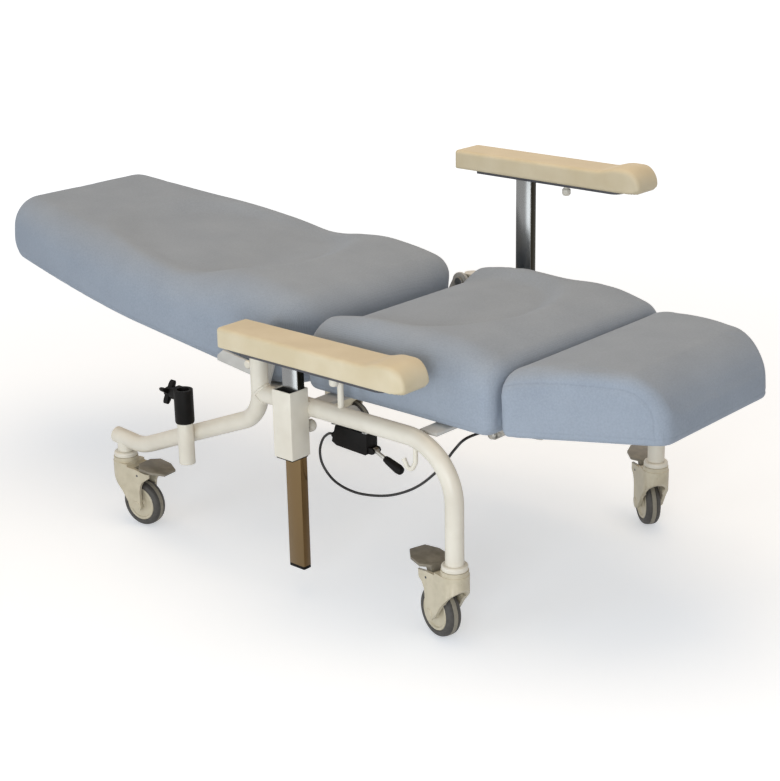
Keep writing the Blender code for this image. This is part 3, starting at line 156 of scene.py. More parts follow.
# Hollows in the seat and backrest: a flat floor out to a share of the rim, then the rise to the rim
HOLLOW_DEPTH = 0.019
HOLLOW_FLOOR = 0.84
HOLLOW_RISE = 0.30
SEAT_HOLLOW_X = 0.300
SEAT_HOLLOW_LENGTH = 0.160
SEAT_HOLLOW_WIDTH = 0.203
BACK_HOLLOW_X = -0.370
BACK_HOLLOW_TO_HEAD = 0.320
BACK_HOLLOW_TO_FOOT = 0.215
BACK_HOLLOW_WIDTH = 0.210

# Cushions: edge radii, tapers and rolled ends
SEAT_EDGE_RADIUS = 0.062
SEAT_FRONT_RADIUS = 0.024
SEAT_REAR_RADIUS = 0.038
SEAT_WAIST = 0.003
BACK_TILT = 7.2
BACK_EDGE_RADII = (0.068, 0.088)
BACK_ROLL_RADIUS = 0.050
BACK_ROLL_REACH = 0.006
BACK_ROLL_CURVE = 0.020
BACK_HEAD_RADIUS = 0.062
BACK_HEAD_REACH = 0.011
BACK_SIDE_INSET = 0.001
BACK_TAPER = 0.066
BACK_TAPER_X = -0.430
BACK_LIFT = 0.042
BACK_LIFT_X = -0.885
BACK_LIFT_LENGTH = 0.07
LEG_TILT = -4
LEG_EDGE_RADII = (0.044, 0.020)
LEG_ROLL_RADIUS = 0.076
LEG_ROLL_INSET = 0.004
LEG_REAR_RADIUS = 0.014
LEG_TAPER = 0.098
LEG_TAPER_COSINE = 0.95

# Covers: how fast the edge radius changes along a cushion, room for the swelling, and sewing
EDGE_CHANGE = 1.6
SLACK = 0.001
SWELL_CAP = 0.0015
SWELL_FRAMES = 20
HELD_DEPTH = 0.012
HELD_HEIGHT = 0.006
HEM = 0.015
SEAM_DEPTH = 0.0006
SEAM_WIDTH = 0.003

# Armrest pads
PAD_HEIGHT = 0.0393
PAD_NOSE_HEIGHT = 0.0115
PAD_NOSE_CROWN = 0.004
PAD_NOSE_LENGTH = 0.098
PAD_NOSE_RISE = 0.046
PAD_NOSE_RADIUS = 0.036
PAD_NOSE_REACH = 0.002
PAD_REAR_RADIUS = 0.006
PAD_CORNER = 0.004
PAD_CORNER_LENGTH = 0.030
PAD_EDGE_RADIUS = 0.008
PAD_FOOT_RADIUS = 0.003
PAD_SKIN = 0.0026

# The release cable's route, as chosen for the solid: x, share of the way from the head to the lever, z
CABLE_RADIUS = 0.0026
CABLE_END_Y = -0.014
CABLE_ROUTE = (
    (0.217, 0.997, 0.319), (0.206, 0.994, 0.318), (0.186, 0.983, 0.301), (0.174, 0.972, 0.272),
    (0.179, 0.961, 0.242), (0.207, 0.951, 0.216), (0.256, 0.943, 0.206), (0.317, 0.936, 0.214),
    (0.368, 0.929, 0.232), (0.416, 0.922, 0.261), (0.462, 0.911, 0.305), (0.488, 0.893, 0.342),
    (0.500, 0.828, 0.362), (0.503, 0.670, 0.363), (0.500, 0.490, 0.357), (0.488, 0.238, 0.344),
    (0.473, 0.079, 0.3335), (0.467, 0.000, 0.3325),
)


# Modelling

def only(piece):
    """Make one piece the only selected and active object."""
    bpy.ops.object.select_all(action="DESELECT")
    piece.select_set(True)
    bpy.context.view_layer.objects.active = piece


def put(name, mesh):
    """Link a new object that holds the mesh."""
    piece = bpy.data.objects.new(name, mesh)
    bpy.context.scene.collection.objects.link(piece)
    only(piece)
    return piece


def slab(name, low, high):
    """A box between two corners."""
    low = Vector(low)
    high = Vector(high)
    bpy.ops.object.select_all(action="DESELECT")
    bpy.ops.mesh.primitive_cube_add(size=1, location=(low + high) / 2)
    piece = bpy.context.object
    piece.name = name
    piece.scale = high - low
    bpy.ops.object.transform_apply(location=True, rotation=True, scale=True)
    return piece


def bar(name, start, end, radius, sides=32):
    """A round bar between two points."""
    start = Vector(start)
    end = Vector(end)
    turn = (end - start).to_track_quat("Z", "Y").to_euler()
    bpy.ops.object.select_all(action="DESELECT")
    bpy.ops.mesh.primitive_cylinder_add(
        vertices=sides, radius=radius, depth=(end - start).length, location=(start + end) / 2, rotation=turn)
    piece = bpy.context.object
    piece.name = name
    bpy.ops.object.transform_apply(location=True, rotation=True, scale=True)
    return piece


def edited(piece, *steps):
    """Run operators on a piece's whole mesh, each with its settings."""
    bpy.ops.object.mode_set(mode="EDIT")
    for operator, settings in steps:
        bpy.ops.mesh.select_all(action="SELECT")
        operator(**settings)
    bpy.ops.object.mode_set(mode="OBJECT")
    return piece


def spun(name, profile, steps=48):
    """A profile of (radius, height) points spun about Z."""
    mesh = bpy.data.meshes.new(name)
    edges = [(index, index + 1) for index in range(len(profile) - 1)]
    mesh.from_pydata([(radius, 0, height) for radius, height in profile], edges, [])
    turn = {"steps": steps, "angle": math.tau, "center": (0, 0, 0), "axis": (0, 0, 1)}
    return edited(put(name, mesh), (bpy.ops.mesh.spin, turn),
                  (bpy.ops.mesh.remove_doubles, {"threshold": 0.01 * MM}),
                  (bpy.ops.mesh.normals_make_consistent, {"inside": False}))


def drawn(name, outline, depth):
    """An outline in XY drawn up along Z."""
    mesh = bpy.data.meshes.new(name)
    mesh.from_pydata([(x, y, 0) for x, y in outline], [], [range(len(outline))])
    pull = {"TRANSFORM_OT_translate": {"value": (0, 0, depth)}}
    return edited(put(name, mesh), (bpy.ops.mesh.extrude_region_move, pull),
                  (bpy.ops.mesh.normals_make_consistent, {"inside": False}))


def wire(name, path, radius, resolution, closed=False, swell=None):
    """A round bar bent along a path, as a curve; swell scales its thickness at each point."""
    curve = bpy.data.curves.new(name, "CURVE")
    curve.dimensions = "3D"
    curve.bevel_depth = radius
    curve.bevel_resolution = resolution
    curve.use_fill_caps = True
    spline = curve.splines.new("POLY")
    spline.points.add(len(path) - 1)
    spline.use_cyclic_u = closed
    spline.use_smooth = True
    for index, point in enumerate(path):
        spline.points[index].co = (*point, 1)
        if swell:
            spline.points[index].radius = swell[index]
    return put(name, curve)


def swept(name, path, radius, sides=32, closed=False, swell=None):
    """A wire as a mesh."""
    wire(name, path, radius, sides // 2 - 2, closed, swell)
    bpy.ops.object.convert(target="MESH")
    bpy.ops.object.shade_smooth_by_angle(angle=math.radians(40))
    return bpy.context.object


def modified(piece, kind, **settings):
    """Apply a modifier with its settings."""
    only(piece)
    modifier = piece.modifiers.new(kind.lower(), kind)
    for name, value in settings.items():
        setattr(modifier, name, value)
    bpy.ops.object.modifier_apply(modifier=modifier.name)


def eased(piece, width, segments=3, angle=32):
    """Round the hard edges and shade the rest smooth."""
    angle = math.radians(angle)
    modified(piece, "BEVEL", width=width, segments=segments, limit_method="ANGLE", angle_limit=angle)
    bpy.ops.object.shade_smooth_by_angle(angle=angle)
    return piece


def cut(piece, tool, operation="DIFFERENCE"):
    """Cut one piece with another, which is used up."""
    modified(piece, "BOOLEAN", object=tool, operation=operation)
    bpy.data.objects.remove(tool)
    return piece


def joined(pieces):
    """Several meshes as one piece, under the first one's name."""
    bpy.ops.object.select_all(action="DESELECT")
    for piece in pieces:
        piece.select_set(True)
    bpy.context.view_layer.objects.active = pieces[0]
    bpy.ops.object.join()
    return pieces[0]


def carried(piece, matrix):
    """Move a piece's mesh to its place."""
    piece.data.transform(matrix)
    return piece


def copied(piece, name, matrix):
    """Another copy of a modelled piece, at its own place."""
    twin = put(name, piece.data.copy())
    return carried(twin, matrix)


def solid_copy(node, name, matrix=Matrix.Identity(4)):
    """A closed copy of a solid, moved by a matrix."""
    piece = put(name, frame["nodes"][node].data.copy())
    piece.data.transform(matrix)
    return edited(piece, (bpy.ops.mesh.remove_doubles, {"threshold": 0.02 * MM}))


def refined(node, width=0.0006, segments=2):
    """A copy of a rigid solid with its hard edges eased."""
    piece = solid_copy(node, node + "_shape")
    edited(piece, (bpy.ops.mesh.dissolve_limited, {"angle_limit": math.radians(1.5)}))
    return eased(piece, width, segments)


def dress(piece, body, slot, material, *nodes):
    """Give a finished piece its material, its body and the solids that it stands for."""
    piece.data.materials.clear()
    piece.data.materials.append(material)
    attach(piece, body)
    if nodes:
        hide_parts(*nodes)
    return piece


def filleted(corners, radii, step=math.radians(4)):
    """A path through the corners with each inner corner bent to its radius."""
    corners = [Vector(corner) for corner in corners]
    path = [corners[0]]
    for before, corner, after, radius in zip(corners, corners[1:], corners[2:], radii):
        back = (before - corner).normalized()
        ahead = (after - corner).normalized()
        half = back.angle(ahead) / 2
        centre = corner + (back + ahead).normalized() * radius / math.sin(half)
        start = corner + back * radius / math.tan(half) - centre
        sweep = math.pi - 2 * half
        axis = (-back).cross(ahead).normalized()
        count = max(2, math.ceil(sweep / step))
        for index in range(count + 1):
            path.append(centre + Matrix.Rotation(sweep * index / count, 3, axis) @ start)
    path.append(corners[-1])
    return path


def arc(centre, radius, start, end, count):
    """Points along an arc, angles in degrees, both ends included."""
    angles = [math.radians(start + (end - start) * index / count) for index in range(count + 1)]
    return [(centre[0] + radius * math.cos(angle), centre[1] + radius * math.sin(angle)) for angle in angles]


# Materials

def srgb(code):
    """Linear colour of an sRGB hex code."""
    shares = [int(code[index:index + 2], 16) / 255 for index in (1, 3, 5)]
    return [share / 12.92 if share <= 0.04045 else ((share + 0.055) / 1.055) ** 2.4 for share in shares] + [1]


def link(tree, node, sources):
    """Set a node's inputs: each gets a value, an output, or a node that feeds it from its first output."""
    for name, source in sources.items():
        if isinstance(source, bpy.types.Node):
            source = source.outputs[0]
        if isinstance(source, bpy.types.NodeSocket):
            tree.links.new(source, node.inputs[name])
        else:
            node.inputs[name].default_value = source


def add(tree, kind, sources=None, **settings):
    """Add a shader node with its inputs and settings."""
    node = tree.nodes.new("ShaderNode" + kind)
    for name, value in settings.items():
        setattr(node, name, value)
    link(tree, node, sources or {})
    return node


def surface(name, roughness, metallic=0.0, **constants):
    """A new Principled material with its constants on the shader's own sockets."""
    material = bpy.data.materials.new(name)
    material.use_nodes = True
    tree = material.node_tree
    shader = tree.nodes["Principled BSDF"]
    link(tree, shader, {"Roughness": roughness, "Metallic": metallic})
    link(tree, shader, {socket.replace("_", " "): value for socket, value in constants.items()})
    place = add(tree, "TexCoord").outputs["Object"]
    return material, tree, shader, place


def coated(name, low, high, patch, grain, height, roughness, spread, metallic=0.0, **constants):
    """A finish that varies between two colours over patches, with a fine grain in its surface.
    patch and grain are sizes in millimetres, height is the grain's depth in millimetres."""
    material, tree, shader, place = surface(name, roughness, metallic, **constants)
    cloud = add(tree, "TexNoise", {"Vector": place, "Scale": 1 / (patch * MM), "Detail": 3.0})
    fine = add(tree, "TexNoise", {"Vector": place, "Scale": 1 / (grain * MM), "Detail": 2.0})
    tint = add(tree, "ValToRGB", {"Fac": cloud})
    for stop, position, code in zip(tint.color_ramp.elements, (0.35, 0.65), (low, high)):
        stop.position = position
        stop.color = srgb(code)
    gloss = add(tree, "MapRange", {
        "Value": cloud, "From Min": 0.3, "From Max": 0.7,
        "To Min": roughness - spread, "To Max": roughness + spread})
    bump = add(tree, "Bump", {"Height": fine, "Strength": 0.5, "Distance": height * MM})
    link(tree, shader, {"Base Color": tint, "Roughness": gloss, "Normal": bump})
    return material


def stretch_upholstery():
    """Knitted polyester stretch cover: matte, soft at grazing angles, with a fine even knit.
    The knit is under a millimetre on the real cover and is drawn coarser so that it shows."""
    knit = 2.6
    material, tree, shader, place = surface(
        "stretch_upholstery", 0.88, Sheen_Weight=0.25, Sheen_Roughness=0.45, Specular_IOR_Level=0.25,
        Sheen_Tint=srgb("#D5DCE6"))
    ribs = []
    for axis in "XYZ":
        wave = add(tree, "TexWave", {
            "Vector": place, "Scale": 1 / (knit * MM * 3.18), "Distortion": 1.2, "Detail": 1.0},
            wave_type="BANDS", bands_direction=axis)
        ribs.append(wave.outputs["Fac"])
    pair = add(tree, "Math", {0: ribs[0], 1: ribs[1]}, operation="ADD")
    threads = add(tree, "Math", {0: pair, 1: ribs[2]}, operation="ADD")
    cloud = add(tree, "TexNoise", {"Vector": place, "Scale": 1 / (90 * MM), "Detail": 4.0})
    heather = add(tree, "TexNoise", {"Vector": place, "Scale": 1 / (3.5 * MM), "Detail": 2.0})
    blotch = add(tree, "Mix", {0: cloud, 6: srgb("#929CAA"), 7: srgb("#A3ADBA")}, data_type="RGBA")
    flecked = add(tree, "MapRange", {
        "Value": heather, "From Min": 0.3, "From Max": 0.7, "To Min": 0.94, "To Max": 1.04})
    seam = add(tree, "Attribute", attribute_name="seam").outputs["Fac"]
    sewn = add(tree, "MapRange", {
        "Value": seam, "From Min": 0.0004, "From Max": 0.0022, "To Min": 0.92, "To Max": 1.0})
    shade = add(tree, "Math", {0: flecked, 1: sewn}, operation="MULTIPLY")
    colour = add(tree, "Mix", {0: 1.0, 6: blotch.outputs[2], 7: shade},
                 data_type="RGBA", blend_type="MULTIPLY")
    knitted = add(tree, "Bump", {"Height": threads, "Strength": 0.35, "Distance": 0.25 * MM})
    link(tree, shader, {"Base Color": colour.outputs[2], "Normal": knitted})
    return material


def birch_plywood():
    """Birch plywood: pale veneer with long grain, sanded and unfinished."""
    material, tree, shader, place = surface("birch_plywood", 0.7)
    stretch = add(tree, "Mapping", {"Vector": place, "Scale": (0.12, 1.0, 1.0)})
    grain = add(tree, "TexNoise", {
        "Vector": stretch, "Scale": 1 / (9 * MM), "Detail": 6.0, "Distortion": 0.6})
    tint = add(tree, "ValToRGB", {"Fac": grain})
    for stop, position, code in zip(tint.color_ramp.elements, (0.3, 0.7), ("#A98A5E", "#CDB48A")):
        stop.position = position
        stop.color = srgb(code)
    bump = add(tree, "Bump", {"Height": grain, "Strength": 0.3, "Distance": 0.2 * MM})
    link(tree, shader, {"Base Color": tint, "Normal": bump})
    return material


def chromed_bar():
    """Chromed flat bar with drawn lines under the plating. Its base colour holds painted reflections: brown
    low down, grey above and dark on the front edge."""
    material, tree, shader, place = surface("chromed_bar", 0.2, 1.0)
    drawn_lines = add(tree, "Mapping", {"Vector": place, "Scale": (1.0, 1.0, 0.02)})
    lines = add(tree, "TexNoise", {"Vector": drawn_lines, "Scale": 1 / (1.5 * MM), "Detail": 3.0})
    where = add(tree, "SeparateXYZ", {0: place})
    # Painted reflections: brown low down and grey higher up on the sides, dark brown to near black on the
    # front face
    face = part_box("armrest_post_left")[1].x
    front = add(tree, "MapRange", {
        "Value": where.outputs["X"], "From Min": face - 0.8 * MM, "From Max": face - 0.2 * MM})
    upper = add(tree, "MapRange", {"Value": where.outputs["Z"], "From Min": 0.28, "From Max": 0.36})
    side = add(tree, "Mix", {0: upper, 6: srgb("#7A6649"), 7: srgb("#858584")}, data_type="RGBA")
    edge = add(tree, "Mix", {0: upper, 6: srgb("#644E31"), 7: srgb("#2C2921")}, data_type="RGBA")
    tone = add(tree, "Mix", {0: front, 6: side.outputs[2], 7: edge.outputs[2]}, data_type="RGBA")
    gloss = add(tree, "MapRange", {"Value": lines, "To Min": 0.13, "To Max": 0.27})
    bump = add(tree, "Bump", {"Height": lines, "Strength": 0.3, "Distance": 0.02 * MM})
    link(tree, shader, {"Base Color": tone.outputs[2], "Roughness": gloss, "Normal": bump})
    return material


def worn_tyre():
    """Black rubber tyre: matte and scuffed, with a tread worn to grey."""
    material, tree, shader, place = surface("worn_rubber", 0.62)
    scuff = add(tree, "TexNoise", {"Vector": place, "Scale": 1 / (7 * MM), "Detail": 5.0})
    tread = add(tree, "Attribute", attribute_name="tread").outputs["Fac"]
    dark = add(tree, "Mix", {0: scuff, 6: srgb("#343230"), 7: srgb("#53504C")}, data_type="RGBA")
    pale = add(tree, "Mix", {0: scuff, 6: srgb("#7C776C"), 7: srgb("#9C9687")}, data_type="RGBA")
    tone = add(tree, "Mix", {0: tread, 6: dark.outputs[2], 7: pale.outputs[2]}, data_type="RGBA")
    bump = add(tree, "Bump", {"Height": scuff, "Strength": 0.4, "Distance": 0.1 * MM})
    link(tree, shader, {"Base Color": tone.outputs[2], "Normal": bump})
    return material


# Powder coat: baked polyester, off-white, with a slight orange peel
POWDER_COAT = coated("white_powder_coat", "#DAD4C6", "#E3DED1", 60, 2.2, 0.05, 0.36, 0.05)
# Zinc-plated steel: bright grey, with dull patches from the bath
ZINC_STEEL = coated("zinc_plated_steel", "#8E8D88", "#B3B1AB", 14, 0.9, 0.02, 0.38, 0.08, metallic=1.0)
# Grey powder coat: pale and matte, on the backrest's arms and the seat's flats
GREY_COAT = coated("grey_powder_coat", "#BDBCB8", "#C9C8C4", 40, 2.0, 0.04, 0.45, 0.05)
# Painted plate: thin dark grey enamel on rolled steel
DARK_STEEL = coated("dark_enamel", "#34343A", "#45454B", 30, 1.2, 0.03, 0.45, 0.05)
# Chromed bar: bright metal with fine upright lines, and painted reflections in its colour
PAINTED_REFLECTION_CHROME = chromed_bar()
# Black polyamide: spark-eroded mould texture
BLACK_PLASTIC = coated("black_polyamide", "#0B0A09", "#131110", 18, 0.8, 0.05, 0.5, 0.06,
                       Specular_IOR_Level=0.12)
# Integral-skin polyurethane: cream, with a close pebbled grain and a yellowed skin
CREAM_FOAM = coated("cream_integral_foam", "#CFC1A1", "#D8CCB0", 70, 1.6, 0.09, 0.5, 0.06)
# Castor nylon: off-white, slightly translucent looking, moulded smooth
CASTOR_NYLON = coated("castor_nylon", "#BFB69F", "#CDC4AE", 25, 1.4, 0.03, 0.42, 0.05)
# Tyre: black rubber, with a tread worn to grey
TYRE_RUBBER = worn_tyre()
# Pedal: glass-filled nylon in grey-brown
PEDAL_PLASTIC = coated("grey_brown_nylon", "#766F62", "#8A8375", 15, 0.9, 0.05, 0.5, 0.06)
# Cable sheath: smooth black PVC
CABLE_SHEATH = coated("black_sheath", "#151416", "#1E1C1D", 12, 0.6, 0.02, 0.4, 0.05)
# Upholstery: matte blue-grey knit that lightens at its edges, with darker seams
UPHOLSTERY = stretch_upholstery()
# Boards: pale birch veneer with long grain
PLYWOOD = birch_plywood()


# Stage

def add_camera():
    """The camera at the photo's place, with its lens and roll."""
    azimuth, elevation, roll = (math.radians(a) for a in (CAMERA_AZIMUTH, CAMERA_ELEVATION, CAMERA_ROLL))
    ahead = Vector((-math.sin(azimuth) * math.cos(elevation), math.cos(azimuth) * math.cos(elevation),
                    -math.sin(elevation)))
    level = Vector((math.cos(azimuth), math.sin(azimuth), 0))
    upright = level.cross(ahead)
    right = math.cos(roll) * level + math.sin(roll) * upright
    up = -math.sin(roll) * level + math.cos(roll) * upright
    camera = bpy.data.objects.new("camera", bpy.data.cameras.new("camera"))
    bpy.context.scene.collection.objects.link(camera)
    turn = Matrix((right, up, -ahead)).transposed().to_4x4()
    camera.matrix_world = Matrix.Translation(CAMERA_PLACE) @ turn
    camera.data.sensor_fit = "VERTICAL"
    camera.data.sensor_height = SENSOR_HEIGHT
    camera.data.lens = SENSOR_HEIGHT * FOCAL_PIXELS / PHOTO_HEIGHT
    bpy.context.scene.camera = camera


def add_lamp(name, place, target, size, power, colour):
    """A soft square lamp aimed at a point."""
    lamp = bpy.data.lights.new(name, "AREA")
    lamp.size = size
    lamp.energy = power
    lamp.color = colour
    holder = bpy.data.objects.new(name, lamp)
    bpy.context.scene.collection.objects.link(holder)
    holder.location = place
    holder.rotation_euler = (Vector(target) - Vector(place)).to_track_quat("-Z", "Y").to_euler()


def seen_directly(tree):
    """1 for what the camera, a reflection or a clear part sees."""
    path = add(tree, "LightPath")
    first = add(tree, "Math", {0: path.outputs["Is Camera Ray"], 1: path.outputs["Is Glossy Ray"]},
                operation="ADD")
    both = add(tree, "Math", {0: first, 1: path.outputs["Is Transmission Ray"]},
               operation="ADD", use_clamp=True)
    return both


def add_stage():
    """Pale floor that keeps the shadow, white beyond, warm light from above and cooler light from the
    front."""
    world = bpy.data.worlds.new("studio")
    bpy.context.scene.world = world
    world.use_nodes = True
    tree = world.node_tree
    tree.nodes.clear()
    ambient = add(tree, "Background", {"Color": (1.0, 0.98, 0.96, 1), "Strength": 0.42})
    white = add(tree, "Background", {"Color": (1, 1, 1, 1), "Strength": 1.0})
    mixed = add(tree, "MixShader", {0: seen_directly(tree), 1: ambient, 2: white})
    add(tree, "OutputWorld", {"Surface": mixed})

    bpy.ops.object.select_all(action="DESELECT")
    bpy.ops.mesh.primitive_plane_add(size=120, location=(0, 0, 0))
    floor = bpy.context.object
    floor.name = "floor"
    material = bpy.data.materials.new("pale_floor")
    material.use_nodes = True
    tree = material.node_tree
    tree.nodes.clear()
    matte = add(tree, "BsdfDiffuse", {"Color": (0.79, 0.84, 0.91, 1)})
    place = add(tree, "TexCoord").outputs["Object"]
    away = add(tree, "VectorMath", {0: place}, operation="LENGTH")
    lift = add(tree, "MapRange", {
        "Value": away.outputs["Value"], "From Min": 0.8, "From Max": 4.0, "To Min": 0.40, "To Max": 0.78})
    glow = add(tree, "Math", {0: lift, 1: seen_directly(tree)}, operation="MULTIPLY")
    lit = add(tree, "Emission", {"Color": (1, 1, 1, 1), "Strength": glow})
    both = add(tree, "AddShader", {0: matte, 1: lit})
    add(tree, "OutputMaterial", {"Surface": both})
    floor.data.materials.append(material)

    add_lamp("overhead", place=(0.1, 0.2, 3.0), target=(0, 0, 0.4), size=2.4, power=32,
             colour=(1.0, 0.73, 0.43))
    add_lamp("front", place=(-0.7, -3.4, 0.6), target=(0, 0, 0.4), size=1.6, power=23,
             colour=(0.88, 0.95, 1.0))
    add_lamp("viewer", place=(1.7, -2.5, 0.8), target=(0.2, 0, 0.4), size=1.2, power=29,
             colour=(0.93, 0.97, 1.0))


# Soft pieces

def smooth_route(points, spacing):
    """Points along a smooth curve through the route's points."""
    points = [Vector(point) for point in points]
    run = [points[0] * 2 - points[1]] + points + [points[-1] * 2 - points[-2]]
    path = []
    for before, start, end, after in zip(run, run[1:], run[2:], run[3:]):
        count = max(1, round((end - start).length / spacing))
        for index in range(count):
            t = index / count
            bend = 2 * before - 5 * start + 4 * end - after
            twist = 3 * start - before - 3 * end + after
            path.append(0.5 * (2 * start + (end - before) * t + bend * t ** 2 + twist * t ** 3))
    path.append(points[-1])
    return path


def add_cable():
    """The release cable from the lever box to the gas spring's head."""
    lever_y = joints["release_lever_pull"]["pos_m"][1]
    route = [(x, CABLE_END_Y + (lever_y - CABLE_END_Y) * share, z) for x, share, z in CABLE_ROUTE]
    path = smooth_route(route, CABLE_RADIUS * 2)
    piece = wire("release_cable_sheath", path, CABLE_RADIUS, 6)
    dress(piece, "chassis", "black_plastic", CABLE_SHEATH, "release_cable")


def vectors(mesh, kind="co"):
    """A mesh's points, or its point normals, as an array."""
    flat = np.empty(len(mesh.vertices) * 3)
    mesh.vertices.foreach_get(kind, flat)
    return flat.reshape(-1, 3)


def reshape(mesh, points):
    """Write an array of points back to a mesh."""
    mesh.vertices.foreach_set("co", np.ascontiguousarray(points).ravel())
    mesh.update()


def rounded(first, second, radius):
    """What lies inside both of two forms, with the edge between them rounded. Distances are negative
    inside."""
    beyond = np.hypot(np.maximum(first + radius, 0), np.maximum(second + radius, 0))
    return np.minimum(-radius, np.maximum(first, second)) + beyond


def ramp(value):
    """Eased ramp from 0 to 1."""
    value = np.clip(value, 0, 1)
    return value * value * (3 - 2 * value)


def bell(value):
    """Bell curve of height 1."""
    return np.exp(-value * value)


def flowing(value, knots):
    """Smooth curve through knots of place and height."""
    places, heights = np.array(knots).T
    slopes = np.gradient(heights, places)
    index = np.clip(np.searchsorted(places, value) - 1, 0, len(places) - 2)
    step = places[index + 1] - places[index]
    t = np.clip((value - places[index]) / step, 0, 1)
    bend = (t - 2 * t ** 2 + t ** 3) * slopes[index] + (t ** 3 - t ** 2) * slopes[index + 1]
    return heights[index] + (heights[index + 1] - heights[index]) * ramp(t) + step * bend


def hollow(spread):
    """Depth of a cushion's hollow; spread is 0 at its middle and about 1 at its rim."""
    return HOLLOW_DEPTH * (1 - ramp((spread - HOLLOW_FLOOR) / HOLLOW_RISE))


def seat_forms(low, high):
    """The seat's top panel with a hollow that runs out at the rear, its side panels and its underside; then
    its ends with their radii, and the radii of its upper edges at the rear and the front."""
    length = high.x - low.x

    def body(x, y, z):
        ahead = np.maximum(x - SEAT_HOLLOW_X, 0)
        spread = np.hypot(y / SEAT_HOLLOW_WIDTH, ahead / SEAT_HOLLOW_LENGTH)
        return z - flowing(x, SEAT_CREST) + hollow(spread)

    def side(x, y, z):
        return np.abs(y) - high.y + SEAT_WAIST * np.sin(np.pi * np.clip((x - low.x) / length, 0, 1))

    def floor(x, y, z):
        return low.z - z

    def ends(x):
        return (x - high.x, SEAT_FRONT_RADIUS), (low.x - x, SEAT_REAR_RADIUS)

    return body, side, floor, ends, (SEAT_EDGE_RADIUS, SEAT_EDGE_RADIUS)


def back_forms(low, high):
    """The same for the backrest: an oval hollow and a lumbar roll, sides drawn in toward the head, and an
    underside that rises there."""

    def body(x, y, z):
        length = np.where(x < BACK_HOLLOW_X, BACK_HOLLOW_TO_HEAD, BACK_HOLLOW_TO_FOOT)
        spread = np.hypot((x - BACK_HOLLOW_X) / length, y / BACK_HOLLOW_WIDTH)
        crest = flowing(x, BACK_CREST) - hollow(spread)
        end = high.x + BACK_ROLL_REACH - BACK_ROLL_CURVE * (y / high.y) ** 2
        return rounded(z - crest, x - end, BACK_ROLL_RADIUS)

    def side(x, y, z):
        drawn_in = np.clip((BACK_TAPER_X - x) / (BACK_TAPER_X - low.x), 0, 1) ** 1.5
        return np.abs(y) - high.y + BACK_SIDE_INSET + BACK_TAPER * drawn_in

    def floor(x, y, z):
        return low.z - z + BACK_LIFT * ramp((BACK_LIFT_X - x) / BACK_LIFT_LENGTH)

    def ends(x):
        return (low.x - BACK_HEAD_REACH - x, BACK_HEAD_RADIUS),

    return body, side, floor, ends, BACK_EDGE_RADII


def leg_forms(low, high):
    """The same for the leg rest: a top rolled down at the front, and flat sides that draw in toward it."""
    length = high.x - low.x

    def body(x, y, z):
        return rounded(z - flowing(x, LEG_CREST), x - high.x + LEG_ROLL_INSET, LEG_ROLL_RADIUS)

    def side(x, y, z):
        share = np.clip((x - low.x) / length, 0, 1)
        return (np.abs(y) - high.y + LEG_TAPER * share) * LEG_TAPER_COSINE

    def floor(x, y, z):
        return low.z - z

    def ends(x):
        return (low.x - x, LEG_REAR_RADIUS),

    return body, side, floor, ends, LEG_EDGE_RADII


def pad_form(low, high):
    """An armrest pad's whole form: a flat top with a raised nose rolled down at the front, and upright
    sides."""
    middle = (low.y + high.y) / 2
    half = high.y - middle

    def form(x, y, z):
        nose = ramp((x - high.x + PAD_NOSE_LENGTH) / PAD_NOSE_RISE)
        crest = low.z + PAD_HEIGHT + nose * (PAD_NOSE_HEIGHT - PAD_NOSE_CROWN * ((y - middle) / half) ** 2)
        top = rounded(z - crest, x - high.x - PAD_NOSE_REACH, PAD_NOSE_RADIUS)
        top = rounded(top, low.x - x, PAD_REAR_RADIUS)
        corner = PAD_CORNER * ramp((x - high.x + PAD_CORNER_LENGTH) / PAD_CORNER_LENGTH)
        upper = rounded(top, np.abs(y - middle) - half + corner, PAD_EDGE_RADIUS)
        return rounded(upper, low.z - z, PAD_FOOT_RADIUS)

    return form


def skinned(node, name, place, voxel):
    """A soft piece's start: its solid's form, drawn level, with an even skin of small squares."""
    piece = solid_copy(node, name, place.inverted())
    corners = vectors(piece.data)
    modified(piece, "REMESH", mode="VOXEL", voxel_size=voxel)
    return piece, Vector(corners.min(axis=0)), Vector(corners.max(axis=0))


def fitted(piece, form, free, rounds):
    """Draw a skin's free points onto a form, evening out the skin between the rounds."""
    probe = 0.1 * MM
    longest = 6 * MM
    for index in range(rounds):
        if index:
            points = vectors(piece.data)
            modified(piece, "SMOOTH", factor=0.5, iterations=3)
            moved = vectors(piece.data)
            moved[~free] = points[~free]
            reshape(piece.data, moved)
        points = vectors(piece.data)
        for _ in range(6):
            value = form(*points.T)
            slopes = [form(*(points + step).T) - form(*(points - step).T) for step in np.eye(3) * probe]
            slope = np.stack(slopes, axis=1) / (2 * probe)
            steep = np.maximum((slope ** 2).sum(axis=1), 0.2)
            reach = np.clip(value / steep, -longest, longest)
            points[free] -= (reach[:, None] * slope)[free]
        reshape(piece.data, points)


